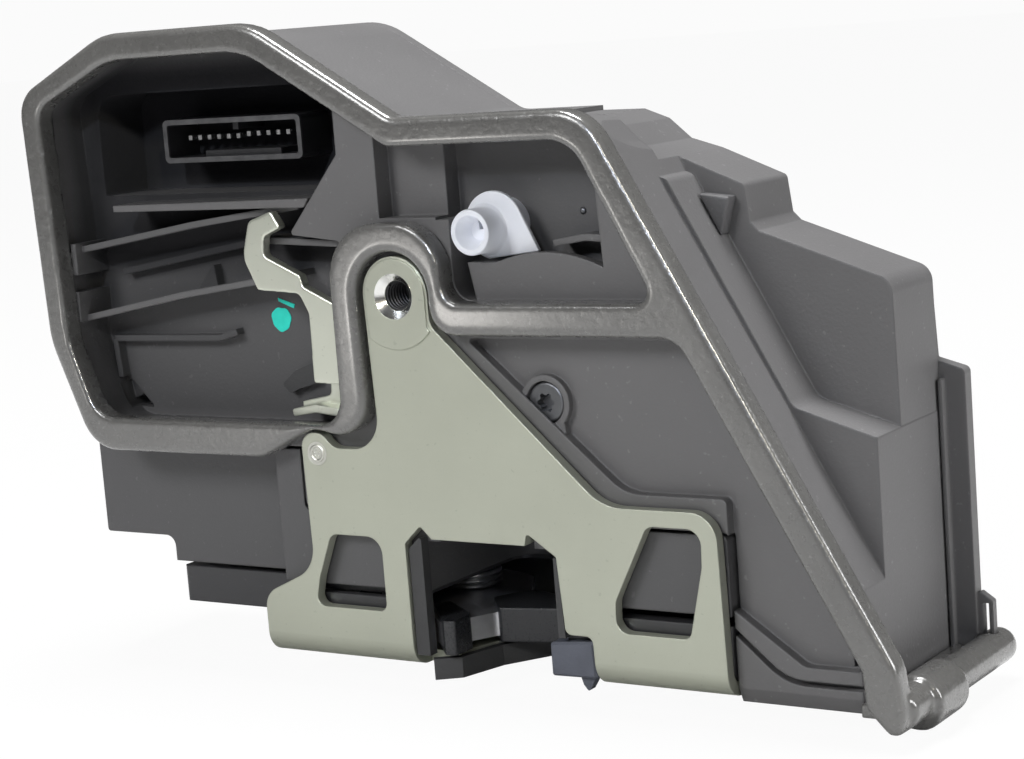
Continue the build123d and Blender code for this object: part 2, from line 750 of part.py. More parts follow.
# ---------------------------------------------------------------- lower case
tunnel_left = slot_left + 2.3
tunnel_right = slot_right - 0.7
with BuildPart() as lower_case:
    with BuildSketch(at_depth(housing_back)):
        make_face(rounded(
            (lower_left, rim_bottom + 1.0, 0),
            (-24.0 - parting_gap, rim_bottom + 1.0, 0),
            (-24.0 - parting_gap, case_waist - parting_gap, 1),
            (foot_step[0] - parting_gap, case_waist - parting_gap, 1),
            (foot_step[0] - parting_gap, lower_bottom, 0),
            (-60.5, lower_bottom, 0),
            (-60.5, -45.0, 2),
            (lower_left, -45.0, 0.6),
        ))
    extrude(amount=housing_back - housing_front)
    # the part beside the plate stands back
    with BuildSketch(at_depth(lower_front)):
        make_face(rounded(
            (lower_left - 2, rim_bottom + 2, 0),
            (-30.0, rim_bottom + 2, 0),
            (-30.0, lower_bottom - 2, 0),
            (lower_left - 2, lower_bottom - 2, 0),
        ))
    extrude(amount=lower_front, mode=Mode.SUBTRACT)
    # way for the striker
    with BuildSketch(at_height(lower_bottom - 1)):
        make_face(rounded(
            (tunnel_left, 0, 0), (tunnel_left, slot_depth, 5), (tunnel_right, slot_depth, 5), (tunnel_right, 0, 0)
        ))
    extrude(amount=slot_top - 1 - lower_bottom + 1, mode=Mode.SUBTRACT)
    # room behind, open at the back
    with BuildSketch(at_depth(housing_back)):
        make_face(rounded(
            (lower_left + wall, rim_bottom + 1 - wall, 0),
            (-24.0 - parting_gap - wall, rim_bottom + 1 - wall, 0),
            (-24.0 - parting_gap - wall, case_waist - parting_gap - wall, 0),
            (tunnel_left - wall, case_waist - parting_gap - wall, 0),
            (tunnel_left - wall, lower_bottom + wall, 0),
            (-60.5 + wall, lower_bottom + wall, 0),
            (-60.5 + wall, -45.0 + wall, 0),
            (lower_left + wall, -45.0 + wall, 0),
        ))
    extrude(amount=housing_back - lower_front - wall, mode=Mode.SUBTRACT)
    with BuildSketch(at_depth(housing_back)):
        make_face(rounded(
            (tunnel_right + wall, case_waist - parting_gap - wall, 0),
            (foot_step[0] - parting_gap - wall, case_waist - parting_gap - wall, 0),
            (foot_step[0] - parting_gap - wall, lower_bottom + wall, 0),
            (tunnel_right + wall, lower_bottom + wall, 0),
        ))
    extrude(amount=housing_back - housing_front - wall, mode=Mode.SUBTRACT)
    # room for the plate's stiffening tab
    with BuildSketch(at_depth(tab_depth + 0.4)):
        with Locations((0.5 * (tab_left + tab_right), slot_top)):
            Rectangle(tab_right - tab_left + 0.8, 8.0)
    extrude(amount=tab_depth, mode=Mode.SUBTRACT)
finish("lower_case", lower_case)

# ---------------------------------------------------------------- claw tray
tray_bottom = plate_bottom + plate_thickness
tray_front = housing_front
tray_back = tray_inner_back + tray_wall
with BuildPart() as claw_tray:
    with BuildSketch(at_height(tray_bottom)):
        make_face(rounded(
            (plate_left + 1.6, tray_front, 1.5),
            (foot_step[0] - parting_gap, tray_front, 1),
            (foot_step[0] - parting_gap, tray_back, 2),
            (plate_left + 1.6, tray_back, 2),
        ))
    extrude(amount=tray_top - tray_bottom)
    with BuildSketch(at_height(tray_bottom + 3.2)):
        make_face(rounded(
            (tray_left, lower_front + 0.3, 1), (-30.0, lower_front + 0.3, 0), (-30.0, 33.0, 0), (tray_left, 33.0, 2)
        ))
    extrude(amount=tray_side_top - tray_bottom - 3.2)
    # the bend of the plate leaves the front lower edge free
    with BuildSketch(Plane.YZ.offset(plate_left)):
        make_face(rounded(
            (0, tray_bottom - 1, 0), (plate_bend_radius + 1.4, tray_bottom - 1, 0), (0, tray_bottom + 3.8, 0)
        ))
    extrude(amount=plate_right - plate_left + 2, mode=Mode.SUBTRACT)
    # room for the claw and the pawl, open at the mouth
    with BuildSketch(at_height(tray_bottom - 1)):
        make_face(rounded(
            (tray_inner_left, tray_front + tray_wall, 1),
            (slot_left - 0.6, tray_front + tray_wall, 0),
            (slot_left - 0.6, -1, 0),
            (tunnel_right, -1, 0),
            (tunnel_right, tray_inner_back, 1),
            (-19.4, tray_inner_back, 1),
            (-19.4, 24.0, 0),
            (tray_inner_left, 24.0, 1),
        ))
    extrude(amount=tray_top - tray_bottom + 2, mode=Mode.SUBTRACT)
    # pockets that lighten the solid stretches
    with BuildSketch(at_height(tray_bottom + 2.0)):
        make_face(rounded((30.0, 5.5, 1), (54.4, 5.5, 1), (54.4, 12.0, 1), (30.0, 12.0, 1)))
        make_face(rounded((30.0, 26.0, 1), (54.4, 26.0, 1), (54.4, 37.6, 1), (30.0, 37.6, 1)))
        make_face(rounded((-57.4, 11.4, 1), (-33.4, 11.4, 1), (-33.4, 31.0, 1), (-57.4, 31.0, 1)))
    extrude(amount=tray_top - tray_bottom - 2.0, mode=Mode.SUBTRACT)
    with BuildSketch(at_height(tray_bottom - 1)):
        with Locations(flange_hole_left, flange_hole_right):
            Circle(flange_hole_radius + 0.3)
    extrude(amount=tray_top - tray_bottom + 2, mode=Mode.SUBTRACT)
    # seat of the striker buffer
    with BuildSketch(at_depth(buffer_back)):
        make_face(rounded(*buffer_corners))
    extrude(amount=buffer_back, mode=Mode.SUBTRACT)
finish("claw_tray", claw_tray)

# ---------------------------------------------------------------- frame plate over the claw
frame_plate_bottom = tray_top + 0.0
with BuildPart() as frame_plate:
    with BuildSketch(at_height(frame_plate_bottom)):
        make_face(rounded(
            (-29.0, 5.0, 3), (-0.8 - 1.6, 5.0, 1), (-0.8 - 1.6, 33.6, 3), (tunnel_right + 2, 33.6, 3),
            (tunnel_right + 2, 14.0, 3), (53.6, 14.0, 3), (53.6, tray_inner_back - 0.4, 3),
            (-29.0, tray_inner_back - 0.4, 3),
        ))
        with Locations(flange_hole_left, flange_hole_right):
            Circle(flange_hole_radius, mode=Mode.SUBTRACT)
        with Locations(claw_pivot):
            Circle(claw_pin_radius, mode=Mode.SUBTRACT)
        with Locations(pawl_pivot):
            Circle(pawl_pin_radius, mode=Mode.SUBTRACT)
    extrude(amount=lower_bottom - frame_plate_bottom)
finish("frame_plate", frame_plate)

# ---------------------------------------------------------------- pins and rivet
pin_foot = plate_bottom - pin_head_height
with BuildPart() as claw_pin:
    with BuildSketch(at_height(pin_foot)):
        with Locations(claw_pivot):
            Circle(claw_pin_radius + 1.5)
    extrude(amount=pin_head_height)
    with BuildSketch(at_height(plate_bottom)):
        with Locations(claw_pivot):
            Circle(claw_pin_radius)
    extrude(amount=lower_bottom - plate_bottom)
finish("claw_pin", claw_pin)

with BuildPart() as pawl_pin:
    with BuildSketch(at_height(pin_foot)):
        with Locations(pawl_pivot):
            Circle(pawl_pin_radius + 1.3)
    extrude(amount=pin_head_height)
    with BuildSketch(at_height(plate_bottom)):
        with Locations(pawl_pivot):
            Circle(pawl_pin_radius)
    extrude(amount=lower_bottom - plate_bottom)
finish("pawl_pin", pawl_pin)

with BuildPart() as plate_rivet:
    with BuildSketch(at_depth(plate_thickness)):
        with Locations(rivet_place):
            Circle(rivet_head_radius)
    extrude(amount=plate_thickness)
    with BuildSketch(at_depth(lower_front - 2)):
        with Locations(rivet_place):
            Circle(rivet_radius)
    extrude(amount=lower_front - 2 - plate_thickness)
finish("plate_rivet", plate_rivet)

# ---------------------------------------------------------------- claw and its jacket
claw_jaw = [
    (5.2, 1.9, 0.7),
    (4.6, 6.5, 2),
    (7.4, 11.6, 2.5),
    (18.6, 14.4, 1.2),
    (19.2, 18.0, 1.5),
    (6.5, 23.0, 6),
]
with BuildPart() as claw:
    with BuildSketch(at_height(claw_bottom)):
        with Locations(claw_pivot):
            Circle(claw_hub)
        make_face(rounded(
            *claw_jaw,
            (-1.0, 36.0, 3),
            (*ring_point(claw_pivot, claw_hub - 1, 150), 1),
            (*ring_point(claw_pivot, claw_recess + 0.8, -147), 2),
            (*ring_point(claw_pivot, claw_recess + 0.8, -132.4), 0.5),
            (*ring_point(claw_pivot, claw_rim, -130.6), 0.4),
            (*ring_point(claw_pivot, claw_rim + 0.2, -122), 4),
            (*ring_point(claw_pivot, claw_rim, -113), 1),
            (*ring_point(claw_pivot, claw_recess, -107), 1.5),
            (*ring_point(claw_pivot, claw_recess, -92), 3),
            (3.4, 1.5, 0.6),
        ))
        with Locations(claw_pivot):
            Circle(claw_pin_radius + running_clearance, mode=Mode.SUBTRACT)
    extrude(amount=claw_thickness)
finish("claw", claw)

with BuildPart() as claw_jacket:
    with BuildSketch(at_height(claw_bottom - jacket)):
        make_face(rounded(
            (3.6, 1.0, 0.8),
            (5.8, 0.9, 0.8),
            (5.6, 6.4, 2),
            (-3.0, 12.6, 0.6),
            (-4.2, 9.6, 0.6),
        ))
        make_face(rounded(
            (8.0, 10.8, 0.8), (19.4, 13.6, 1.4), (20.2, 18.6, 2), (6.8, 24.0, 4), (3.0, 17.0, 1)
        ))
    extrude(amount=claw_thickness + 2 * jacket)
    add(claw.part, mode=Mode.SUBTRACT)
finish("claw_jacket", claw_jacket)

with BuildPart() as pawl:
    with BuildSketch(at_height(claw_bottom)):
        with Locations(pawl_pivot):
            Circle(pawl_hub)
        make_face(rounded(
            (pawl_pivot[0], 12.6, 0),
            (pawl_pivot[0] + 6.5, 9.0, 2),
            (-13.6, 5.8, 1),
            (-13.0, 7.2, 0.3),
            (-10.2, 7.2, 0.4),
            (-10.4, 4.7, 0.8),
            (pawl_pivot[0] + 2, 5.9, 3),
            (pawl_pivot[0] - 2, 7.4, 1),
        ))
        with Locations(pawl_pivot):
            Circle(pawl_pin_radius + running_clearance, mode=Mode.SUBTRACT)
    extrude(amount=claw_thickness)
finish("pawl", pawl)

# ---------------------------------------------------------------- striker mouth
with BuildPart() as mouth_liner:
    with BuildSketch(at_depth(housing_front - 0.0)):
        make_face(rounded(
            (slot_left + 0.3, -60.0, 0),
            (slot_left + 0.3, -42.0, 0.4),
            (tunnel_left + 0.6, -39.6, 0.4),
            (tunnel_left + 0.6, -60.0, 0),
        ))
        make_face(rounded(
            (tunnel_right - 0.5, step_top - 0.8, 0),
            (tunnel_right - 0.5, -41.6, 0.2),
            (slot_right - 0.5, -42.0, 0.2),
            (slot_right + 0.1, step_top - 0.8, 0),
        ))
    extrude(amount=housing_front - 0.6)
    # lip along the left edge of the slot
    with BuildSketch(at_height(plate_bottom - 1.8)):
        with BuildLine() as lip_line:
            Polyline(*[(x + 1.1, y) for x, y in slot_edge])
        trace(lip_line.edges(), line_width=1.4)
    extrude(amount=plate_thickness + 1.5)
finish("mouth_liner", mouth_liner)

with BuildPart() as striker_buffer:
    with BuildSketch(at_depth(buffer_lip_back)):
        make_face(rounded(
            buffer_corners[0],
            buffer_corners[1],
            (step_right - 0.2, -61.1, 0.4),
            (slot_right - 3.2, -61.3, 0.4),
        ))
    extrude(amount=buffer_lip_back - buffer_front)
    chamfer(striker_buffer.faces().sort_by(Axis.Y)[0].edges(), length=0.4)
    with BuildSketch(at_depth(buffer_back)):
        make_face(rounded(*buffer_corners))
    extrude(amount=buffer_back - buffer_lip_back + 0.5)
    # the pull-through tail left on its lower edge
    with BuildSketch(at_depth(3.6)):
        make_face(rounded((28.9, -60.8, 0), (32.2, -60.8, 0), (31.3, -62.3, 0.3), (30.4, -63.7, 0.3), (29.5, -62.6, 0.3)))
    extrude(amount=1.6)
finish("striker_buffer", striker_buffer)

# ---------------------------------------------------------------- levers in the open pocket
with BuildPart() as inner_lever:
    with BuildSketch(at_depth(lever_front + lever_sheet)):
        make_face(rounded(
            (-30.4, 12.5, 1.5),
            (-25.4, 14.1, 0.6),
            (-23.7, 11.3, 0.4),
            (-27.4, 9.8, 1.0),
            (-27.7, 6.6, 1.0),
            (-20.4, 3.3, 0.6),
            (-19.9, 1.4, 0.6),
            (-13.4, -1.6, 0.8),
            (-13.2, -15.0, 0.5),
            (-19.3, -14.9, 0.5),
            (-19.2, -3.0, 1.2),
            (-20.9, 0.2, 1.2),
            (-29.6, 0.8, 0.8),
            (-32.3, 6.4, 4.0),
        ))
    extrude(amount=lever_sheet)
    with BuildSketch(at_depth(inner_hub_back)):
        with Locations(lever_pivot):
            Circle(lever_hub)
    extrude(amount=inner_hub_back - lever_front - 1)
    with BuildSketch(at_depth(inner_hub_back + 1)):
        with Locations(lever_pivot):
            Circle(lever_pin_radius + running_clearance)
    extrude(amount=inner_hub_back + 1 - lever_front - lever_sheet, mode=Mode.SUBTRACT)
finish("inner_release_lever", inner_lever)

with BuildPart() as outer_lever:
    with BuildSketch(at_depth(outer_lever_front + lever_sheet)):
        with Locations(lever_pivot):
            Circle(lever_hub + 0.6)
        make_face(rounded(
            (-19.4, -11.0, 1),
            (-14.6, -11.0, 1),
            (-14.6, -18.4, 1),
            (-18.0, -20.6, 0),
            (-26.0, -20.6, 0),
            (-26.0, -19.0, 0),
            (-19.8, -17.8, 1),
        ))
    extrude(amount=lever_sheet)
    with BuildSketch(at_depth(outer_lever_front + lever_sheet)):
        make_face(rounded(
            (-26.4, -19.9, 0.4), (-21.4, -19.0, 2), (-16.6, -19.6, 0.3), (-16.6, -20.9, 0.3), (-21.4, -20.4, 2), (-26.2, -21.2, 0.4)
        ))
    extrude(amount=lever_sheet + 2.6)
    with BuildSketch(at_depth(outer_lever_front + lever_sheet + 1)):
        with Locations(lever_pivot):
            Circle(lever_pin_radius + running_clearance)
    extrude(amount=lever_sheet + 2, mode=Mode.SUBTRACT)
finish("outer_release_lever", outer_lever)

with BuildPart() as lever_pin:
    with BuildSketch(at_depth(pocket_floor + floor_thickness)):
        with Locations(lever_pivot):
            Circle(lever_pin_radius)
    extrude(amount=pocket_floor + floor_thickness - lever_front - lever_sheet - 0.3)
finish("lever_pin", lever_pin)

with BuildPart() as lever_stop:
    with BuildSketch(at_depth(pocket_floor)):
        make_face(rounded((-32.3, -16.6, 0.5), (-30.6, -18.2, 0.5), (-28.8, -17.4, 1), (-24.5, -16.2, 0.5), (-24.8, -12.6, 0.5), (-29.2, -14.2, 1)))
    extrude(amount=pocket_floor - outer_lever_front - lever_sheet - 0.5)
finish("lever_stop", lever_stop)

# ---------------------------------------------------------------- lock coupler
with BuildPart() as lock_coupler:
    with BuildSketch(at_depth(coupler_back)):
        with Locations(coupler_pivot):
            Circle(coupler_radius)
        make_face(rounded(
            (coupler_pivot[0], coupler_pivot[1] + coupler_radius, 0),
            (coupler_pivot[0] + 4.6, coupler_pivot[1] + 4.2, 2),
            (coupler_pivot[0] + 8.2, coupler_pivot[1] - 4.2, 0.8),
            (coupler_pivot[0], coupler_pivot[1] - 4.4, 0),
        ))
    extrude(amount=coupler_back - coupler_front)
    with BuildSketch(at_depth(coupler_front + 0.8)):
        with Locations(nipple_centre):
            Circle(nipple_radius)
    extrude(amount=coupler_front + 0.8 - nipple_front)
    with BuildSketch(at_depth(coupler_front - 0.4)):
        with Locations(nipple_centre):
            Circle(nipple_radius - 1.3)
            with Locations((nipple_radius, 0.8)):
                Rectangle(2 * nipple_radius, 1.2)
    extrude(amount=coupler_front - 0.4 - nipple_front + 1, mode=Mode.SUBTRACT)
    with BuildSketch(at_depth(coupler_back + 1)):
        with Locations(coupler_pivot):
            Circle(coupler_pin_radius + running_clearance)
    extrude(amount=coupler_back + 1 - coupler_front - 0.6, mode=Mode.SUBTRACT)
finish("lock_coupler", lock_coupler)

# ---------------------------------------------------------------- motor, worm and wheel
with BuildPart() as motor_can:
    with BuildSketch(Plane.YZ.offset(motor_left)):
        with Locations(motor_axis):
            Circle(motor_radius)
            Rectangle(4 * motor_radius, 2 * motor_flat, mode=Mode.INTERSECT)
    extrude(amount=motor_length)
    with BuildSketch(Plane.YZ.offset(motor_right)):
        with Locations(motor_axis):
            Circle(3.0)
    extrude(amount=0.8)
    with BuildSketch(Plane.YZ.offset(motor_right + 1)):
        with Locations(motor_axis):
            Circle(shaft_radius + running_clearance)
    extrude(amount=-4.0, mode=Mode.SUBTRACT)
finish("motor_can", motor_can)

with BuildPart() as motor_end_cap:
    with BuildSketch(Plane.YZ.offset(motor_left)):
        with Locations(motor_axis):
            Circle(motor_radius - 1)
            Rectangle(4 * motor_radius, 2 * motor_flat - 1, mode=Mode.INTERSECT)
    extrude(amount=-2.4)
    with BuildSketch(Plane.YZ.offset(motor_left - 2.4)):
        with Locations(motor_axis):
            Circle(2.6)
    extrude(amount=-1.4)
finish("motor_end_cap", motor_end_cap)

with BuildPart() as worm:
    with BuildSketch(Plane.YZ.offset(motor_right - 2.6)):
        with Locations(motor_axis):
            Circle(shaft_radius)
    extrude(amount=worm_right + 2.0 - motor_right + 2.6)
    with BuildSketch(Plane.YZ.offset(worm_left)):
        with Locations(motor_axis):
            Circle(worm_radius)
    extrude(amount=worm_length)
    chamfer(worm.faces().filter_by(Axis.X).group_by(SortBy.AREA)[-1].edges(), length=0.4)
finish("worm", worm)

with BuildPart() as worm_wheel:
    with BuildSketch(at_depth(wheel_front + wheel_thickness)):
        with Locations(wheel_centre):
            Circle(wheel_radius - tooth_height)
            with PolarLocations(wheel_radius - 0.5 * tooth_height, wheel_teeth):
                Trapezoid(2 * tooth_height, tooth_foot, 72, rotation=-90)
            Circle(axle_radius + running_clearance, mode=Mode.SUBTRACT)
            with PolarLocations(0.55 * wheel_radius, 5):
                Circle(1.5, mode=Mode.SUBTRACT)
    extrude(amount=wheel_thickness)
finish("worm_wheel", worm_wheel)

with BuildPart() as wheel_axle:
    with BuildSketch(at_depth(housing_back)):
        with Locations(wheel_centre):
            Circle(axle_radius)
    extrude(amount=housing_back - pocket_floor - floor_thickness)
finish("wheel_axle", wheel_axle)

# ---------------------------------------------------------------- connector, board and switches
with BuildPart() as connector_socket:
    with BuildSketch(at_depth(bay_floor)):
        with Locations(socket_centre):
            RectangleRounded(socket_width, socket_height, 1.0)
            RectangleRounded(
                socket_width - 2 * socket_wall, socket_height - 2 * socket_wall, 0.5, mode=Mode.SUBTRACT
            )
    extrude(amount=socket_depth)
    with BuildSketch(at_depth(bay_floor)):
        with Locations((socket_centre[0], socket_centre[1] + 0.5 * socket_height - 1.4)):
            Rectangle(1.2, 1.6)
        with Locations((socket_centre[0] + 1.2, socket_centre[1] - 0.5 * socket_height + 1.3)):
            Rectangle(17.0, 1.2)
    extrude(amount=socket_depth - 1.5)
finish("connector_socket", connector_socket)

with BuildPart() as terminals:
    with BuildSketch(at_depth(bay_floor)):
        with Locations((socket_centre[0] - 5.9, socket_centre[1] + 0.4), (socket_centre[0] + 7.5, socket_centre[1] + 0.7)):
            with GridLocations(terminal_pitch, 1, terminal_count // 2, 1):
                Rectangle(0.8, 0.8)
    extrude(amount=socket_depth - 2.5)
finish("terminals", terminals)

with BuildPart() as circuit_board:
    with BuildSketch(at_depth(board_back + board_thickness)):
        make_face(rounded((-9.6, -0.8, 1), (-9.6, 22.6, 1), (29.0, 22.6, 1), (37.6, 6.0, 1), (37.6, -0.8, 1)))
    extrude(amount=board_thickness)
finish("circuit_board", circuit_board)

with BuildPart() as microswitches:
    with BuildSketch(at_depth(board_back)):
        with Locations((5.0, 9.0), (22.0, 9.0)):
            Rectangle(12.8, 6.5)
    extrude(amount=5.8)
    with BuildSketch(at_depth(board_back - 5.8)):
        with Locations((2.0, 9.0), (19.0, 9.0)):
            Rectangle(2.4, 2.0)
    extrude(amount=1.2)
finish("microswitches", microswitches)

# ---------------------------------------------------------------- rear cover and its screws
with BuildPart() as rear_cover:
    with BuildSketch(at_depth(housing_back + cover_thickness)):
        make_face(rounded(
            (-60.5, lower_bottom, 0),
            (-60.5, -45.0, 2),
            (lower_left, -45.0, 0.6),
            (lower_left, rim_bottom + 1, 1),
            *rim_corners(seal_overhang, seal_overhang)[1:6],
            (25.6, 25.7, 4),
            (34.8, 20.3, 2),
            (51.6, 13.6, 1),
            (52.4, 7.6, 0.4),
            (53.9, 6.0, 0.4),
            (side_x - 1.6, -1.6, 3),
            (side_x - 1.0, cover_flange_top + 1.5, 0.3),
            (side_x + cover_flange, cover_flange_top, 1),
            (side_x + cover_flange, cover_foot, 0.3),
            (foot_step[0], cover_foot, 0),
            (foot_step[0], lower_bottom, 0),
        ))
        with Locations(seal_run_centre):
            Circle(seal_run_radius + 0.3, mode=Mode.SUBTRACT)
        with Locations((seal_run_centre[0], seal_run_centre[1] - seal_run_radius)):
            Rectangle(2 * seal_run_radius + 0.6, 2 * seal_run_radius, mode=Mode.SUBTRACT)
    extrude(amount=cover_thickness)
    # ribs along the flange, and the slotted clip at its foot
    with BuildSketch(at_depth(housing_back)):
        with Locations((side_x + 0.6, 0.5 * (cover_flange_top + cover_foot))):
            Rectangle(0.6, cover_flange_top - cover_foot - 3)
    extrude(amount=1.6)
    with BuildSketch(at_depth(housing_back + cover_thickness - 0.4)):
        make_face(rounded(
            (side_x + cover_flange - 1.0, clip_foot + 4, 0),
            (side_x + cover_flange + 0.6, clip_foot + 4.6, 0.3),
            (side_x + cover_flange + 2.6, clip_foot + 3.2, 0.5),
            (side_x + cover_flange + 2.6, clip_foot - 6.4, 0.3),
            (side_x + cover_flange, clip_foot - 7.4, 0.3),
            (side_x + cover_flange - 1.0, clip_foot + 0.5, 0),
        ))
        with Locations((side_x + cover_flange + 1.4, clip_foot - 1.2)):
            Rectangle(1.0, 8.0, mode=Mode.SUBTRACT)
    extrude(amount=1.4)
    # openings for the cover screws
    with BuildSketch(at_depth(housing_back + cover_thickness)):
        for post_x, post_z, post_floor in cover_posts:
            with Locations((post_x, post_z)):
                Circle(screw_radius)
    extrude(amount=cover_thickness, mode=Mode.SUBTRACT)
    # seat of the gear axle
    with BuildSketch(at_depth(housing_back)):
        with Locations(wheel_centre):
            Circle(axle_radius + 2)
            Circle(axle_radius, mode=Mode.SUBTRACT)
    extrude(amount=4.0)
finish("rear_cover", rear_cover)

with BuildPart() as cover_screws:
    for post_x, post_z, post_floor in cover_posts:
        with BuildSketch(at_depth(housing_back + cover_thickness + screw_head)):
            with Locations((post_x, post_z)):
                Circle(screw_head_radius - 0.4)
        extrude(amount=screw_head)
        with BuildSketch(at_depth(housing_back + cover_thickness)):
            with Locations((post_x, post_z)):
                Circle(screw_radius)
        extrude(amount=cover_thickness + screw_length - 1)
finish("cover_screws", cover_screws)

with BuildPart() as front_screw:
    with BuildSketch(at_depth(panel_front + 1.6)):
        with Locations(screw_boss):
            Circle(screw_head_radius)
    extrude(amount=screw_head + 0.8)
    fillet(front_screw.faces().sort_by(Axis.Y)[0].edges(), radius=0.5)
    with BuildSketch(at_depth(panel_front + floor_thickness + 1)):
        with Locations(screw_boss):
            Circle(screw_radius)
    extrude(amount=floor_thickness - 0.6)
    # six-lobed socket
    with BuildSketch(at_depth(panel_front + 0.6)):
        with Locations(screw_boss):
            Circle(1.2)
            with PolarLocations(1.2, 6):
                Circle(0.42)
    extrude(amount=3.0, mode=Mode.SUBTRACT)
finish("front_screw", front_screw)

# ---------------------------------------------------------------- springs
# each is a close-wound coil of round wire with one straight leg


def coil(centre, plane, ring_radius, wire_radius, turns):
    """Ring of wire turns whose first turn's centre lies on the plane, winding along its normal."""
    with BuildPart(mode=Mode.PRIVATE) as wound:
        with BuildSketch(Plane(origin=plane.from_local_coords((*centre, 0)), x_dir=plane.x_dir, z_dir=plane.y_dir)):
            for turn in range(turns):
                with Locations((ring_radius, -1.8 * wire_radius * turn)):
                    Circle(wire_radius)
        revolve(axis=Axis(plane.from_local_coords((*centre, 0)), plane.z_dir))
    return wound.part


with BuildPart() as claw_spring:
    add(coil(claw_pivot, at_height(claw_top + claw_wire), claw_coil, claw_wire, 3))
    with BuildSketch(Plane.YZ.offset(claw_pivot[0] - claw_coil)):
        with Locations((claw_pivot[1] + claw_wire, claw_top + claw_wire)):
            Circle(claw_wire)
    extrude(amount=-5.0)
finish("claw_spring", claw_spring)

with BuildPart() as pawl_spring:
    add(coil(pawl_pivot, at_height(tray_top - pawl_wire - 1.8 * pawl_wire * 2), pawl_coil, pawl_wire, 3))
    with BuildSketch(Plane.YZ.offset(pawl_pivot[0] - pawl_coil)):
        with Locations((pawl_pivot[1], tray_top - pawl_wire)):
            Circle(pawl_wire)
    extrude(amount=-(pawl_pivot[0] - pawl_coil - tray_inner_left))
finish("pawl_spring", pawl_spring)

with BuildPart() as lever_spring:
    add(coil(lever_pivot, at_depth(pocket_floor - lever_wire), lever_coil, lever_wire, 2))
    with BuildSketch(Plane.YZ.offset(lever_pivot[0])):
        with Locations((pocket_floor - lever_wire, lever_pivot[1] + lever_coil)):
            Circle(lever_wire)
    extrude(amount=-6.0)
finish("lever_spring", lever_spring)


os.makedirs(step_file_folder, exist_ok=True)
for label, piece in finished:
    export_step(piece, os.path.join(step_file_folder, label + ".step"))
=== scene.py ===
import math
import bmesh
import bpy
from mathutils import Matrix, Vector


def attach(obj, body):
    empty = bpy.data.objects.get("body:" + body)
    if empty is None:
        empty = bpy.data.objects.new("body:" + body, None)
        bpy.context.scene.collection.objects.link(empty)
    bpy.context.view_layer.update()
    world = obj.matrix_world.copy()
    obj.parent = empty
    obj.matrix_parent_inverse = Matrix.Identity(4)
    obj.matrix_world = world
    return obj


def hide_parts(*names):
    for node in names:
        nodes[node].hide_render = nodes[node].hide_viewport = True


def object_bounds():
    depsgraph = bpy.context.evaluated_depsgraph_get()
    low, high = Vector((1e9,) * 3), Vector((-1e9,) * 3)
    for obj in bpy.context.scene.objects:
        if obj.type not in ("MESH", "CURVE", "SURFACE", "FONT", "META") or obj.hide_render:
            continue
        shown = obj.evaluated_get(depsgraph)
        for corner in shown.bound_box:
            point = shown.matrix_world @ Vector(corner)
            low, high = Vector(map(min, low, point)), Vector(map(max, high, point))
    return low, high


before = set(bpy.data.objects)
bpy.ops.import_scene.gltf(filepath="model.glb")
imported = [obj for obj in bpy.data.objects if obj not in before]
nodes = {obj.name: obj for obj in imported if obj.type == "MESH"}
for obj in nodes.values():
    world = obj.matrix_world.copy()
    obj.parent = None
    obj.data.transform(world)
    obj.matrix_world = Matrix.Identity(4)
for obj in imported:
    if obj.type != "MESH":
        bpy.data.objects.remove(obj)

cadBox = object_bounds()
print("frame loaded:", len(nodes), "nodes")


class Sock:
    # one socket of a node tree, so that node maths reads as plain expressions
    def __init__(self, tree, socket):
        self.tree, self.socket = tree, socket

    def math(self, operation, *others):
        node = self.tree.nodes.new("ShaderNodeMath")
        node.operation = operation
        for slot, value in zip(node.inputs, (self, *others)):
            plug(self.tree, slot, value)
        return Sock(self.tree, node.outputs[0])

    def __add__(self, other):
        return self.math("ADD", other)

    def __sub__(self, other):
        return self.math("SUBTRACT", other)

    def __rsub__(self, other):
        return self * -1 + other

    def __mul__(self, other):
        return self.math("MULTIPLY", other)

    def __truediv__(self, other):
        return self.math("DIVIDE", other)

    __radd__ = __add__
    __rmul__ = __mul__

    def clip(self):
        return self.math("MAXIMUM", 0.0).math("MINIMUM", 1.0)

    def above(self, edge, soft):
        # 0 under the edge and 1 over it, with a ramp of soft to each side
        return ((self - (edge - soft)) / (2 * soft)).clip()


def plug(tree, slot, value):
    if isinstance(value, Sock):
        tree.links.new(value.socket, slot)
    elif slot.type == "RGBA":
        slot.default_value = (*value, 1.0)
    else:
        slot.default_value = value


class Tree:
    # a node tree and the one method that fills it
    def __init__(self, tree):
        self.tree = tree

    def make(self, kind, settings=(), output=0, slots=(), **values):
        # slots gives values by socket number, where sockets share a name
        node = self.tree.nodes.new(kind)
        for key, value in dict(settings).items():
            setattr(node, key, value)
        for key, value in dict(slots).items():
            plug(self.tree, node.inputs[key], value)
        for key, value in values.items():
            plug(self.tree, node.inputs[key.replace("_", " ")], value)
        return Sock(self.tree, node.outputs[output]) if node.outputs else None


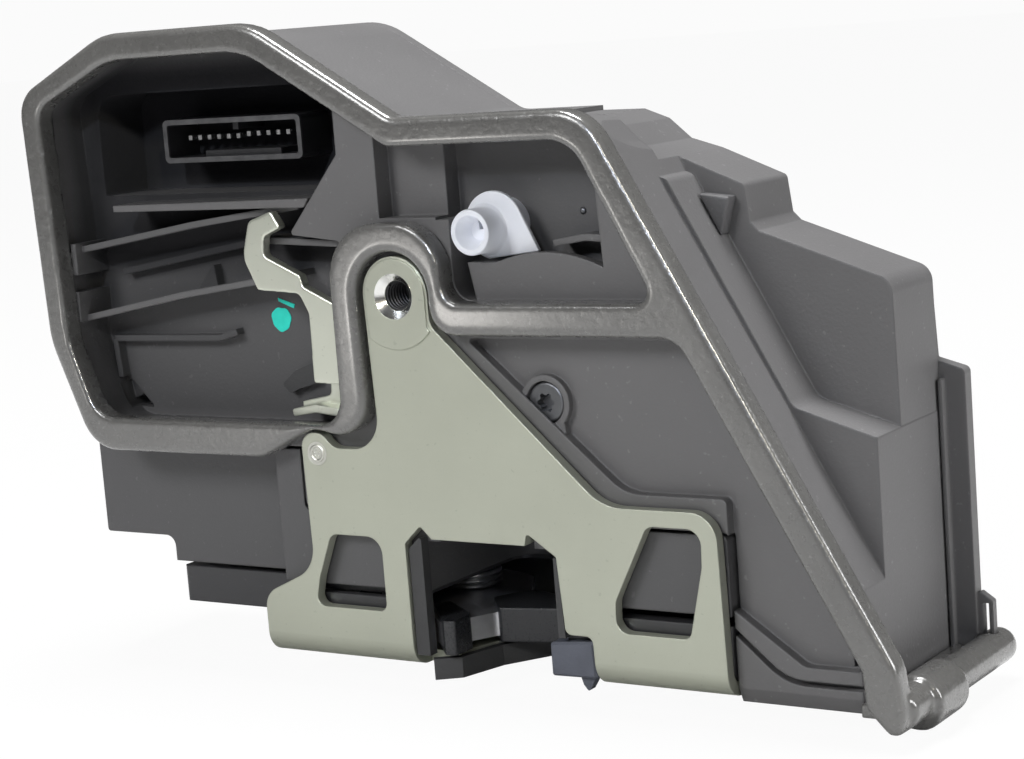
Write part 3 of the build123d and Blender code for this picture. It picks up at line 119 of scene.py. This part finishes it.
class Finish(Tree):
    # a procedural finish, on a coordinate that stays with the piece
    def __init__(self, name):
        self.material = bpy.data.materials.new(name)
        self.material.use_nodes = True
        super().__init__(self.material.node_tree)
        self.tree.nodes.clear()
        self.place = self.make("ShaderNodeTexCoord", output="Object")

    def noise(self, scale, detail=3.0, rough=0.5, place=None):
        return self.make("ShaderNodeTexNoise", Vector=place or self.place,
                         Scale=scale, Detail=detail, Roughness=rough)

    def cells(self, scale):
        return self.make("ShaderNodeTexVoronoi", Vector=self.place, Scale=scale)

    def stretch(self, amounts):
        return self.make("ShaderNodeMapping", Vector=self.place, Scale=amounts)

    def axis(self, which, vector=None):
        return self.make("ShaderNodeSeparateXYZ", Vector=vector or self.place, output=which)

    def blend(self, share, first, second):
        return self.make("ShaderNodeMix", {"data_type": "RGBA"}, 2, {0: share, 6: first, 7: second})

    def edges(self, radius):
        # shades sharp corners as if they were rounded
        return self.make("ShaderNodeBevel", {"samples": 5}, Radius=radius)

    def bump(self, height, strength, depth, under=None):
        values = {"Normal": under} if under else {}
        return self.make("ShaderNodeBump", Height=height, Strength=strength, Distance=depth, **values)

    def surface(self, shader):
        self.make("ShaderNodeOutputMaterial", Surface=shader)
        return self.material

    def done(self, colour, rough, normal=None, metal=0.0, **values):
        if normal:
            values["Normal"] = normal
        return self.surface(self.make("ShaderNodeBsdfPrincipled", Base_Color=colour,
                                      Roughness=rough, Metallic=metal, **values))


def toned(colour, amount):
    return tuple(min(1.0, part * amount) for part in colour)


# painted shade: floors and inner walls of the case's pockets and bay are darkened where shade falls in them,
# and made rougher
recessShadeSizes = {
    "middle": (-0.046, 0.010),      # x and z of the line that the inner walls face
    "turned": (-0.006, 0.002),      # how far a wall may face away from it, and softness
    # the near-black colour of the painted shade
    "tone": (0.003, 0.003, 0.005),
    "roughening": 0.25,
    "places": [
        # lowest and highest corner, share of painted shade, softness of the edge
        ((-0.0790, 0.0060, -0.0240), (-0.0150, 0.0118, 0.0160), 0.58, 0.0025),
        ((-0.0790, 0.0060, 0.0040), (-0.0172, 0.0340, 0.0405), 0.76, 0.0025),
        ((-0.0740, 0.0080, 0.0165), (-0.0172, 0.0340, 0.0400), 0.97, 0.0030),
        ((-0.0790, 0.0060, -0.0020), (-0.0360, 0.0118, 0.0160), 0.50, 0.0050),
        ((0.0080, 0.0070, -0.0020), (0.0440, 0.0112, 0.0270), 0.35, 0.0015),
    ],
}


# painted shade: mixes the case's colour towards near-black in its pockets and bay, where shade falls; these
# hollows are also made rougher
def paintedRecessShade(paint, tone, shine):
    middleX, middleZ = recessShadeSizes["middle"]
    place = [paint.axis(which) for which in range(3)]
    facing = paint.make("ShaderNodeTexCoord", output="Normal")
    outX = paint.axis(0, facing) * (place[0] - middleX)
    outZ = paint.axis(2, facing) * (place[2] - middleZ)
    inner = ((outX + outZ) * -1.0).above(*recessShadeSizes["turned"])    # leaves out the outer walls
    for low, high, share, soft in recessShadeSizes["places"]:
        inside = inner
        for value, start, end in zip(place, low, high):
            inside = value.above(start, soft) * (value * -1.0).above(-end, soft) * inside
        tone = paint.blend(inside * share, tone, recessShadeSizes["tone"])
        shine = shine + inside * recessShadeSizes["roughening"]
    return tone, shine.clip()


def mouldedPlastic(name, colour, grain=0.35, rough=0.5, shadeRecesses=False):
    paint = Finish(name)
    cloud = paint.noise(26.0, detail=4.0)                           # slow drift of tone over a panel
    speck = paint.noise(900.0, detail=2.0).above(0.71, soft=0.03)   # dust and pale nicks
    fine = paint.noise(2600.0, detail=2.0, rough=0.6)
    pits = paint.cells(1500.0)
    tone = paint.blend(cloud, toned(colour, 0.84), toned(colour, 1.14))
    tone = paint.blend(speck * 0.25, tone, toned(colour, 2.4))
    shine = cloud * 0.16 + fine * 0.12 + (rough - 0.14)
    # painted shade in the pockets and bay
    if shadeRecesses:
        tone, shine = paintedRecessShade(paint, tone, shine)
    relief = paint.bump(fine * 0.6 + pits * 0.4, grain, depth=0.00012, under=paint.edges(0.00045))
    return paint.done(tone, shine, relief, Specular_IOR_Level=0.45)


def socketPlastic(name, litRimDepth):
    # glossy black, with a painted highlight: the front rim is greyed where its edge catches the light
    paint = Finish(name)
    wear = paint.noise(500.0, detail=4.0, rough=0.6)
    # painted highlight: the front rim is greyed, varied in strength by the noise
    rim = (paint.axis(1) * -1.0).above(-litRimDepth, soft=0.0003)
    tone = paint.blend(wear, (0.016, 0.016, 0.018), (0.032, 0.032, 0.035))
    tone = paint.blend(rim * (wear * 0.9 + 0.05), tone, (0.15, 0.15, 0.155))
    return paint.done(tone, wear * 0.2 + 0.22, paint.bump(paint.noise(1500.0), 0.1, depth=0.0001))


def sealRubber(name):
    # dark grey, dusty, with the drag lines and bubbles of a moulded skin
    paint = Finish(name)
    cloud = paint.noise(60.0)
    drag = paint.noise(420.0, rough=0.6)
    bubble = paint.cells(700.0)
    dust = paint.noise(1400.0, detail=2.0).above(0.68, soft=0.04)
    tone = paint.blend(cloud, (0.090, 0.089, 0.086), (0.138, 0.136, 0.130))
    tone = paint.blend(dust * 0.3, tone, (0.32, 0.32, 0.31))
    relief = paint.bump(bubble, 0.12, depth=0.0002, under=paint.bump(drag, 0.32, depth=0.0006))
    return paint.done(tone, drag * 0.16 + 0.20, relief,
                      Specular_IOR_Level=0.5, Coat_Weight=1.0, Coat_Roughness=0.18)


def zincSheet(name, colour, rough=0.42, metal=0.55):
    # clouded, with faint rolling lines and small dark spots
    paint = Finish(name)
    cloud = paint.noise(38.0, detail=4.0, rough=0.6)
    rolled = paint.noise(120.0, rough=0.6, place=paint.stretch((0.35, 1.0, 5.0)))
    spot = paint.noise(1100.0, detail=2.0).above(0.70, soft=0.03)
    tone = paint.blend(cloud, toned(colour, 0.90), toned(colour, 1.08))
    tone = paint.blend(spot * 0.35, tone, toned(colour, 0.62))
    fine = paint.noise(1900.0, detail=2.0)
    relief = paint.bump(fine * 0.5 + rolled * 0.5, 0.10, depth=0.00012, under=paint.edges(0.00030))
    return paint.done(tone, rolled * 0.16 + cloud * 0.10 + (rough - 0.12), relief, metal)


def plainMetal(name, colour, rough=0.32, metal=0.9):
    paint = Finish(name)
    wear = paint.noise(700.0, detail=4.0, rough=0.6)
    drawn = paint.noise(300.0, detail=2.0, place=paint.stretch((1.0, 1.0, 7.0)))
    tone = paint.blend(wear, toned(colour, 0.8), toned(colour, 1.15))
    relief = paint.bump(drawn, 0.12, depth=0.0001)
    return paint.done(tone, wear * 0.2 + (rough - 0.08), relief, metal)


def whiteNylon(name):
    paint = Finish(name)
    cloud = paint.noise(140.0)
    tone = paint.blend(cloud, (0.76, 0.79, 0.87), (0.88, 0.90, 0.95))
    relief = paint.bump(paint.noise(900.0), 0.08, depth=0.0002)
    return paint.done(tone, cloud * 0.15 + 0.33, relief,
                      Subsurface_Weight=0.12, Subsurface_Radius=(0.002, 0.002, 0.002))


def softRubber(name, colour):
    paint = Finish(name)
    cloud = paint.noise(300.0)
    tone = paint.blend(cloud, toned(colour, 0.8), toned(colour, 1.3))
    return paint.done(tone, cloud * 0.2 + 0.5, paint.bump(paint.noise(1800.0), 0.25, depth=0.0002))


def markPaint(name):
    paint = Finish(name)
    return paint.done(paint.blend(paint.noise(900.0), (0.0, 0.62, 0.50), (0.02, 0.80, 0.66)), 0.35)


finishes = {
    # case plastic, with painted shade in its pockets and bay
    "case": mouldedPlastic("casePlastic", (0.126, 0.124, 0.126), shadeRecesses=True),
    "low": mouldedPlastic("lowerCasePlastic", (0.084, 0.083, 0.086)),
    "tray": mouldedPlastic("trayPlastic", (0.040, 0.040, 0.043), grain=0.25, rough=0.42),
    "socket": socketPlastic("socketPlastic", litRimDepth=0.0138),
    "jacket": mouldedPlastic("jacketPlastic", (0.020, 0.021, 0.024), grain=0.1, rough=0.28),
    "seal": sealRubber("sealRubberSkin"),
    "plate": zincSheet("platedSheet", (0.430, 0.445, 0.368)),
    "frame": zincSheet("phosphatedSheet", (0.060, 0.060, 0.062), rough=0.46, metal=0.35),
    "lever": zincSheet("platedLever", (0.620, 0.640, 0.550), rough=0.30, metal=0.70),
    "pin": plainMetal("pinSteel", (0.55, 0.55, 0.50)),
    "claw": plainMetal("clawSteel", (0.52, 0.52, 0.54), rough=0.30),
    "spring": plainMetal("springWire", (0.45, 0.45, 0.46), rough=0.3),
    "screw": plainMetal("screwSteel", (0.115, 0.117, 0.122), rough=0.42, metal=0.7),
    "brass": plainMetal("wormBrass", (0.75, 0.60, 0.34), rough=0.25, metal=1.0),
    "tin": plainMetal("tinnedPins", (0.62, 0.62, 0.62), rough=0.22, metal=1.0),
    "board": mouldedPlastic("boardLaminate", (0.03, 0.12, 0.06), grain=0.1, rough=0.4),
    "white": whiteNylon("whiteNylon"),
    "rubber": softRubber("linerRubber", (0.036, 0.036, 0.037)),
    "buffer": softRubber("bufferRubber", (0.085, 0.093, 0.120)),
    "polish": plainMetal("polishedChamfer", (0.78, 0.78, 0.76), rough=0.16, metal=1.0),
    # near-black for the bore's thread and sleeve: painted shade for the inside of the hole
    "thread": plainMetal("blackenedThread", (0.022, 0.022, 0.023), rough=0.40, metal=0.3),
    "mark": markPaint("markPaint"),
}
wearers = {
    "case": ["front_housing", "rear_cover"],
    "low": ["lower_case"],
    "tray": ["claw_tray", "motor_end_cap", "microswitches"],
    "socket": ["connector_socket"],
    "jacket": ["claw_jacket"],
    "seal": ["rim_seal"],
    "plate": ["face_plate", "motor_can"],
    "frame": ["frame_plate"],
    "lever": ["inner_release_lever", "outer_release_lever"],
    "pin": ["claw_pin", "pawl_pin", "plate_rivet", "lever_pin", "wheel_axle"],
    "claw": ["claw", "pawl"],
    "spring": ["claw_spring", "pawl_spring", "lever_spring"],
    "screw": ["front_screw", "cover_screws"],
    "brass": ["worm"],
    "tin": ["terminals"],
    "board": ["circuit_board"],
    "white": ["lock_coupler", "worm_wheel"],
    "rubber": ["mouth_liner", "lever_stop"],
    "buffer": ["striker_buffer"],
}


def wear(piece, finish):
    piece.data.materials.clear()
    piece.data.materials.append(finishes[finish])


for finish, names in wearers.items():
    for name in names:
        wear(nodes[name], finish)
print("finishes set:", len(finishes))


def settle(piece):
    # applies the live modifiers and leaves a plain mesh
    view = bpy.context.evaluated_depsgraph_get()
    mesh = bpy.data.meshes.new_from_object(piece.evaluated_get(view))
    piece.modifiers.clear()
    piece.data = mesh


def newPiece(name, mesh):
    piece = bpy.data.objects.new(name, mesh)
    bpy.context.scene.collection.objects.link(piece)
    return piece


def addPiece(name, work, finish):
    bmesh.ops.recalc_face_normals(work, faces=work.faces)
    piece = newPiece(name, bpy.data.meshes.new(name))
    work.to_mesh(piece.data)
    work.free()
    wear(piece, finish)
    return piece


def roundedCopy(node, name, finish, size):
    # a copy of a CAD node with all its corners worn round
    piece = newPiece(name, nodes[node].data.copy())
    work = bmesh.new()
    work.from_mesh(piece.data)
    bmesh.ops.remove_doubles(work, verts=work.verts, dist=size["weld"])
    work.to_mesh(piece.data)
    work.free()
    remesh = piece.modifiers.new("remesh", "REMESH")
    remesh.mode = "VOXEL"
    remesh.voxel_size = size["voxel"]
    relax = piece.modifiers.new("relax", "SMOOTH")
    relax.factor = size["relax"]
    relax.iterations = size["relaxSteps"]
    settle(piece)
    piece.data.shade_smooth()
    wear(piece, finish)
    return piece


def around(centre, radius, turn):
    # the point (x, z) at that radius and angle from centre
    return centre[0] + radius * math.cos(turn), centre[1] + radius * math.sin(turn)


def turned(work, centre, profile, steps=72, closed=False):
    # a profile of (radius, depth) turned about the line through centre that runs front to back
    rings = []
    for radius, depth in profile:
        angles = [0.0] if radius == 0.0 else [2 * math.pi * step / steps for step in range(steps)]
        points = [around(centre, radius, angle) for angle in angles]
        rings.append([work.verts.new((x, depth, z)) for x, z in points])
    if closed:
        rings.append(rings[0])
    for near, far in zip(rings, rings[1:]):
        for step in range(steps):
            after = (step + 1) % steps
            if len(near) == 1:
                work.faces.new((near[0], far[step], far[after]))
            elif len(far) == 1:
                work.faces.new((near[step], near[after], far[0]))
            else:
                work.faces.new((near[step], near[after], far[after], far[step]))


def prism(work, outline, front, back):
    near = [work.verts.new((x, front, z)) for x, z in outline]
    far = [work.verts.new((x, back, z)) for x, z in outline]
    work.faces.new(near)
    work.faces.new(far[::-1])
    for step in range(len(outline)):
        after = (step + 1) % len(outline)
        work.faces.new((near[step], far[step], far[after], near[after]))


def cutBy(piece, cutter):
    cut = piece.modifiers.new("cut", "BOOLEAN")
    cut.operation = "DIFFERENCE"
    cut.solver = "EXACT"
    cut.object = cutter
    settle(piece)
    bpy.data.objects.remove(cutter)


def softEdges(piece, width, sharpest=32.0):
    # rounds the edges that turn by more than that many degrees
    bevel = piece.modifiers.new("softEdges", "BEVEL")
    bevel.width = width
    bevel.segments = 3
    bevel.angle_limit = math.radians(sharpest)
    settle(piece)


def shadeByAngle(piece, sharpest=32.0):
    piece.data.shade_smooth()
    piece.data.set_sharp_from_angle(angle=math.radians(sharpest))


# rim seal, a soft extruded bead moulded round the rim
sealSizes = {"weld": 1e-6, "voxel": 0.00042, "relaxSteps": 9, "relax": 0.5}
rimBead = roundedCopy("rim_seal", "rimBead", "seal", sealSizes)
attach(rimBead, "housing")
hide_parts("rim_seal")
print("rim bead:", len(rimBead.data.polygons), "faces")


# paint dot and tick on the pocket floor
markSizes = {
    "middle": (-0.0323, -0.00545), "floor": 0.0106, "thick": 0.00012,
    "radius": 0.0021, "steps": 40,
    "waves": [(0.05, 3, 0), (0.03, 7, 1)],      # share of the radius, waves to a turn, start
    "tick": [(-0.0004, 0.0037), (0.0032, 0.0026), (0.0029, 0.0019), (-0.0003, 0.0031)],
}


def flatMark(name, outline):
    work = bmesh.new()
    prism(work, outline, markSizes["floor"] - markSizes["thick"], markSizes["floor"])
    return addPiece(name, work, "mark")


blob = []
for step in range(markSizes["steps"]):
    turn = 2 * math.pi * step / markSizes["steps"]
    wobble = sum(share * math.sin(waves * turn + start) for share, waves, start in markSizes["waves"])
    blob.append(around(markSizes["middle"], markSizes["radius"] * (1 + wobble), turn))
markX, markZ = markSizes["middle"]
paintDot = flatMark("paintDot", blob)
paintTick = flatMark("paintTick", [(markX + x, markZ + z) for x, z in markSizes["tick"]])
for piece in (paintDot, paintTick):
    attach(piece, "housing")
print("paint marks:", len(blob), "corners")


# inner release lever, tumbled after stamping, so its corners are round
leverSizes = {"weld": 1e-6, "voxel": 0.00018, "relaxSteps": 11, "relax": 0.5}
innerLever = roundedCopy("inner_release_lever", "innerLever", "lever", leverSizes)
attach(innerLever, "inner_lever")
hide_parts("inner_release_lever")
print("inner lever:", len(innerLever.data.polygons), "faces")


# lock coupler: a flat tab on a hub, and a nipple with a cupped, slotted mouth for the cylinder's rod
couplerSizes = {
    "pivot": (0.0166, 0.0106),
    "tabRadius": 0.0055, "tabFront": 0.0056, "tabBack": 0.0065,
    "tabCorner": (0.0082, -0.0042),             # from the pivot
    "tabEnd": 1.5 * math.pi - 0.25, "tabSteps": 48,
    "edge": 0.00022, "edgeAngle": 40.0,
    "hubProfile": [(0.00195, 0.00645), (0.00195, 0.0099), (0.0042, 0.0099), (0.0042, 0.00645)],
    "nipple": (0.0150, 0.0100),
    "nippleProfile": [                          # from its foot, over the lip and down into the cup
        (0.0, 0.0063), (0.0042, 0.0063), (0.0042, 0.0056), (0.00388, 0.0053), (0.0037, 0.0047),
        (0.0037, 0.0014), (0.00358, 0.00112), (0.0033, 0.0010), (0.0030, 0.0010), (0.00276, 0.00112),
        (0.0026, 0.0014), (0.0018, 0.0034), (0.0015, 0.0039), (0.0011, 0.0040), (0.0, 0.0040),
    ],
    "slotMiddle": (0.0163, 0.0109), "slotHalf": (0.00135, 0.0007), "slotDepth": (0.0018, 0.0056),
}


def tabOutline(size):
    # a round tab with one drawn-out corner, from which a straight flank meets the round
    cornerX, cornerZ = size["tabCorner"]
    outline = [(size["pivot"][0] + cornerX, size["pivot"][1] + cornerZ)]
    flank = math.acos(size["tabRadius"] / math.hypot(cornerX, cornerZ))
    start = math.atan2(cornerZ, cornerX) + flank
    for step in range(size["tabSteps"] + 1):
        turn = start + (size["tabEnd"] - start) * step / size["tabSteps"]
        outline.append(around(size["pivot"], size["tabRadius"], turn))
    return outline


def makeCoupler(size):
    work = bmesh.new()
    prism(work, tabOutline(size), size["tabFront"], size["tabBack"])
    tab = addPiece("lockCoupler", work, "white")
    softEdges(tab, size["edge"], size["edgeAngle"])
    work = bmesh.new()
    turned(work, size["pivot"], size["hubProfile"], closed=True)
    hub = addPiece("couplerHub", work, "white")
    work = bmesh.new()
    turned(work, size["nipple"], size["nippleProfile"])
    spout = addPiece("couplerNipple", work, "white")
    work = bmesh.new()
    (x, z), (long, tall) = size["slotMiddle"], size["slotHalf"]
    corners = [(x - long, z - tall), (x + long, z - tall), (x + long, z + tall), (x - long, z + tall)]
    prism(work, corners, *size["slotDepth"])
    cutBy(spout, addPiece("slotCutter", work, "white"))
    work = bmesh.new()
    for part in (tab, hub, spout):
        work.from_mesh(part.data)
    work.to_mesh(tab.data)
    work.free()
    for part in (hub, spout):
        bpy.data.objects.remove(part)
    shadeByAngle(tab)
    return tab


lockCoupler = makeCoupler(couplerSizes)
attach(lockCoupler, "coupler")
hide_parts("lock_coupler")
print("lock coupler:", len(lockCoupler.data.polygons), "faces")


# thread turns inside the mounting bore, a thin sleeve over the bore wall, and its polished chamfer; thread and
# sleeve are coloured near-black as painted shade for the inside of the hole
boreSizes = {
    "middle": (0.0, 0.0), "radius": 0.0025, "front": 0.00100, "back": 0.0069,
    "pitch": 0.0008, "wire": 0.00030, "turnSteps": 36, "wireSteps": 6,
    "wall": 0.00010, "gap": 0.00001,
    "chamferTop": (0.00372, -0.00031), "chamferFoot": (0.00254, 0.00090), "chamferWall": 0.0001,
}


class ShapeTree(Tree):
    # a Geometry Nodes tree with named inputs for its sizes
    def __init__(self, name):
        super().__init__(bpy.data.node_groups.new(name, "GeometryNodeTree"))
        self.tree.interface.new_socket("Geometry", in_out="OUTPUT", socket_type="NodeSocketGeometry")
        self.source = self.tree.nodes.new("NodeGroupInput")
        self.ends = {}

    def size(self, name):
        item = self.tree.interface.new_socket(name, in_out="INPUT", socket_type="NodeSocketFloat")
        self.ends[name] = item.identifier
        return Sock(self.tree, self.source.outputs[name])

    def run(self, name, shape, finish, sizes):
        whole = self.make("GeometryNodeRealizeInstances", Geometry=shape)
        dressed = self.make("GeometryNodeSetMaterial", Geometry=whole, Material=finishes[finish])
        self.make("NodeGroupOutput", Geometry=dressed)
        piece = newPiece(name, bpy.data.meshes.new(name))
        maker = piece.modifiers.new("maker", "NODES")
        maker.node_group = self.tree
        for key, value in sizes.items():
            maker[self.ends[key]] = value
        settle(piece)
        return piece


def makeThread(size):
    tree = ShapeTree("threadTurns")
    radius, pitch, length, wire = (tree.size(key) for key in ("radius", "pitch", "length", "wire"))
    helix = tree.make("GeometryNodeCurveSpiral", Resolution=size["turnSteps"],
                      Rotations=length / pitch, Start_Radius=radius, End_Radius=radius, Height=length)
    tooth = tree.make("GeometryNodeCurvePrimitiveCircle", Resolution=size["wireSteps"], Radius=wire)
    turns = tree.make("GeometryNodeCurveToMesh", Curve=helix, Profile_Curve=tooth, Fill_Caps=True)
    thread = tree.run("boreThread", turns, "thread", {
        "radius": size["radius"] - size["wall"], "pitch": size["pitch"],
        "length": size["back"] - size["front"] - 2 * size["wire"], "wire": size["wire"]})
    lie = Matrix.Rotation(math.pi / 2, 4, "X")      # the helix is made upright
    thread.data.transform(Matrix.Translation((0.0, size["back"] - size["wire"], 0.0)) @ lie)
    thread.data.shade_smooth()
    return thread


def boreSleeve(name, profile, finish):
    work = bmesh.new()
    turned(work, boreSizes["middle"], profile, closed=True)
    sleeve = addPiece(name, work, finish)
    shadeByAngle(sleeve)
    return sleeve


boreThread = makeThread(boreSizes)
front, back = boreSizes["front"], boreSizes["back"]
inner, outer = boreSizes["radius"] - boreSizes["wall"], boreSizes["radius"] - boreSizes["gap"]
# painted shade: a near-black sleeve laid over the bore wall
boreShadeSleeve = boreSleeve("boreShadeSleeve", [(inner, front), (inner, back), (outer, back), (outer, front)], "thread")
chamfer = [boreSizes["chamferTop"], boreSizes["chamferFoot"]]
behind = [(radius + boreSizes["chamferWall"], depth + boreSizes["chamferWall"]) for radius, depth in chamfer]
chamferRing = boreSleeve("chamferRing", chamfer + behind[::-1], "polish")
for piece in (boreThread, boreShadeSleeve, chamferRing):
    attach(piece, "housing")
print("bore thread:", len(boreThread.data.polygons), "faces")


# peened ring and punch dots on the rivet's head
rivetSizes = {
    "middle": (-0.01875, -0.0265), "ring": 0.00125, "steps": 48,
    "wire": 0.00028, "wireFlat": 0.7, "wireSteps": 8,
    "dots": 5, "dotRing": 0.00055, "dotTurn": 0.4, "dotSteps": 12,
    "dotProfile": [(0.0, -0.00016), (0.000154, -0.00012), (0.00022, 0.00004), (0.0, 0.00006)],
}
work = bmesh.new()
angles = [2 * math.pi * step / rivetSizes["wireSteps"] for step in range(rivetSizes["wireSteps"])]
bead = [around((rivetSizes["ring"], 0.0), rivetSizes["wire"], angle) for angle in angles]
bead = [(radius, depth * rivetSizes["wireFlat"]) for radius, depth in bead]
turned(work, rivetSizes["middle"], bead, rivetSizes["steps"], closed=True)
for dot in range(rivetSizes["dots"]):
    turn = 2 * math.pi * dot / rivetSizes["dots"] + rivetSizes["dotTurn"]
    spot = around(rivetSizes["middle"], rivetSizes["dotRing"], turn)
    turned(work, spot, rivetSizes["dotProfile"], rivetSizes["dotSteps"])
rivetRing = addPiece("rivetRing", work, "pin")
rivetRing.data.shade_smooth()
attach(rivetRing, "housing")


# small pin in the floor of the coupler pocket
pinSizes = {
    "middle": (0.0308, 0.0122), "steps": 24,
    "profile": [(0.0, 0.0096), (0.00036, 0.00968), (0.0006, 0.00992), (0.0006, 0.0102), (0.0, 0.0102)],
}
work = bmesh.new()
turned(work, pinSizes["middle"], pinSizes["profile"], pinSizes["steps"])
pocketPin = addPiece("pocketPin", work, "screw")
pocketPin.data.shade_smooth()
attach(pocketPin, "housing")


# small wedge in the corner of the right step
wedgeSizes = {
    "outline": [(0.0468, 0.0136), (0.0521, 0.013), (0.0504, 0.0069)],
    "front": 0.0184, "back": 0.0212, "edge": 0.0003,
}
work = bmesh.new()
prism(work, wedgeSizes["outline"], wedgeSizes["front"], wedgeSizes["back"])
stepWedge = addPiece("stepWedge", work, "low")
softEdges(stepWedge, wedgeSizes["edge"])
stepWedge.data.shade_smooth()
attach(stepWedge, "housing")
print("small pieces set")


white = (1.0, 1.0, 1.0)
studio = {
    "floorDrop": 0.0006, "floorReach": 6.0, "floorTone": (0.6, 0.6, 0.6), "floorGlow": 0.95,
    "worldStrength": 0.10, "backdrop": 0.965,
    "lamps": [
        # name, place, target, width, power, colour, seen only in gloss, lights only the seal
        ("frontLamp", (-0.26, -0.76, 0.52), (0.0, 0.0, 0.0), 0.35, 4.9, white, False, False),
        ("glintLamp", (0.24, -0.80, 0.46), (0.0, 0.0, 0.0), 0.05, 8.0, (0.80, 0.86, 1.0), True, False),
        ("edgeLamp", (0.62, -0.62, 0.46), (0.0, 0.0, 0.0), 0.05, 4.5, (1.0, 0.94, 0.80), True, False),
        ("crestLamp", (-0.245, -0.358, -0.057), (0.02, 0.0, 0.0), 0.03, 0.085, (1.0, 0.97, 0.92), True, True),
        ("topLamp", (-0.05, 0.10, 0.90), (0.0, 0.0, 0.0), 0.35, 13.0, white, False, False),
        ("sideLamp", (0.85, 0.10, 0.25), (0.03, 0.0, 0.0), 0.35, 4.2, white, False, False),
    ],
}
scene = bpy.context.scene
scene.view_settings.view_transform = "Standard"

cameraSizes = {
    "sensor": 36.0, "lens": 84.14, "near": 0.01, "far": 20.0,
    "place": (0.2292772, -0.3082933, 0.0438707),
    "right": (0.83347532, 0.54717477, -0.07693283),
    "up": (-0.01989409, 0.16885631, 0.98543989),
}
cameraData = bpy.data.cameras.new("camera")
cameraData.sensor_width = cameraSizes["sensor"]
cameraData.lens = cameraSizes["lens"]
cameraData.clip_start = cameraSizes["near"]
cameraData.clip_end = cameraSizes["far"]
camera = bpy.data.objects.new("camera", cameraData)
right, up = Vector(cameraSizes["right"]), Vector(cameraSizes["up"])
aim = Matrix((right, up, right.cross(up))).transposed()
camera.matrix_world = Matrix.Translation(cameraSizes["place"]) @ aim.to_4x4()
scene.collection.objects.link(camera)
scene.camera = camera

sealOnly = bpy.data.collections.new("sealOnly")
sealOnly.objects.link(rimBead)
for name, place, target, width, power, colour, glossOnly, onSealOnly in studio["lamps"]:
    lamp = bpy.data.lights.new(name, "AREA")
    lamp.shape = "DISK"
    lamp.size = width
    lamp.energy = power
    lamp.color = colour
    holder = bpy.data.objects.new(name, lamp)
    holder.location = place
    holder.rotation_euler = (Vector(target) - Vector(place)).to_track_quat("-Z", "Y").to_euler()
    holder.visible_diffuse = not glossOnly
    holder.visible_camera = False
    if onSealOnly:
        holder.light_linking.receiver_collection = sealOnly
    scene.collection.objects.link(holder)

world = bpy.data.worlds.new("studioWorld")
world.use_nodes = True
scene.world = world
sky = Tree(world.node_tree)
sky.tree.nodes.clear()
cameraRay = sky.make("ShaderNodeLightPath", output="Is Camera Ray")
glassRay = sky.make("ShaderNodeLightPath", output="Is Transmission Ray")
seen = cameraRay.math("MAXIMUM", glassRay)
strength = seen * (studio["backdrop"] - studio["worldStrength"]) + studio["worldStrength"]
sky.make("ShaderNodeOutputWorld", Surface=sky.make("ShaderNodeBackground", Color=white, Strength=strength))

# the floor looks white to the camera and still takes the object's shadow
floorFinish = Finish("studioFloor")
glowing = floorFinish.make("ShaderNodeLightPath", output="Is Camera Ray") * studio["floorGlow"]
floorFinish.surface(floorFinish.make("ShaderNodeMixShader", slots={
    0: glowing,
    1: floorFinish.make("ShaderNodeBsdfDiffuse", Color=studio["floorTone"]),
    2: floorFinish.make("ShaderNodeEmission", Color=white, Strength=1.0),
}))
floorMesh = bpy.data.meshes.new("floor")
reach, level = studio["floorReach"], cadBox[0][2] - studio["floorDrop"]
corners = [(-reach, -reach, level), (reach, -reach, level), (reach, reach, level), (-reach, reach, level)]
floorMesh.from_pydata(corners, [], [(0, 1, 2, 3)])
floor = bpy.data.objects.new("floor", floorMesh)
floor.data.materials.append(floorFinish.material)
scene.collection.objects.link(floor)
print("studio ready")
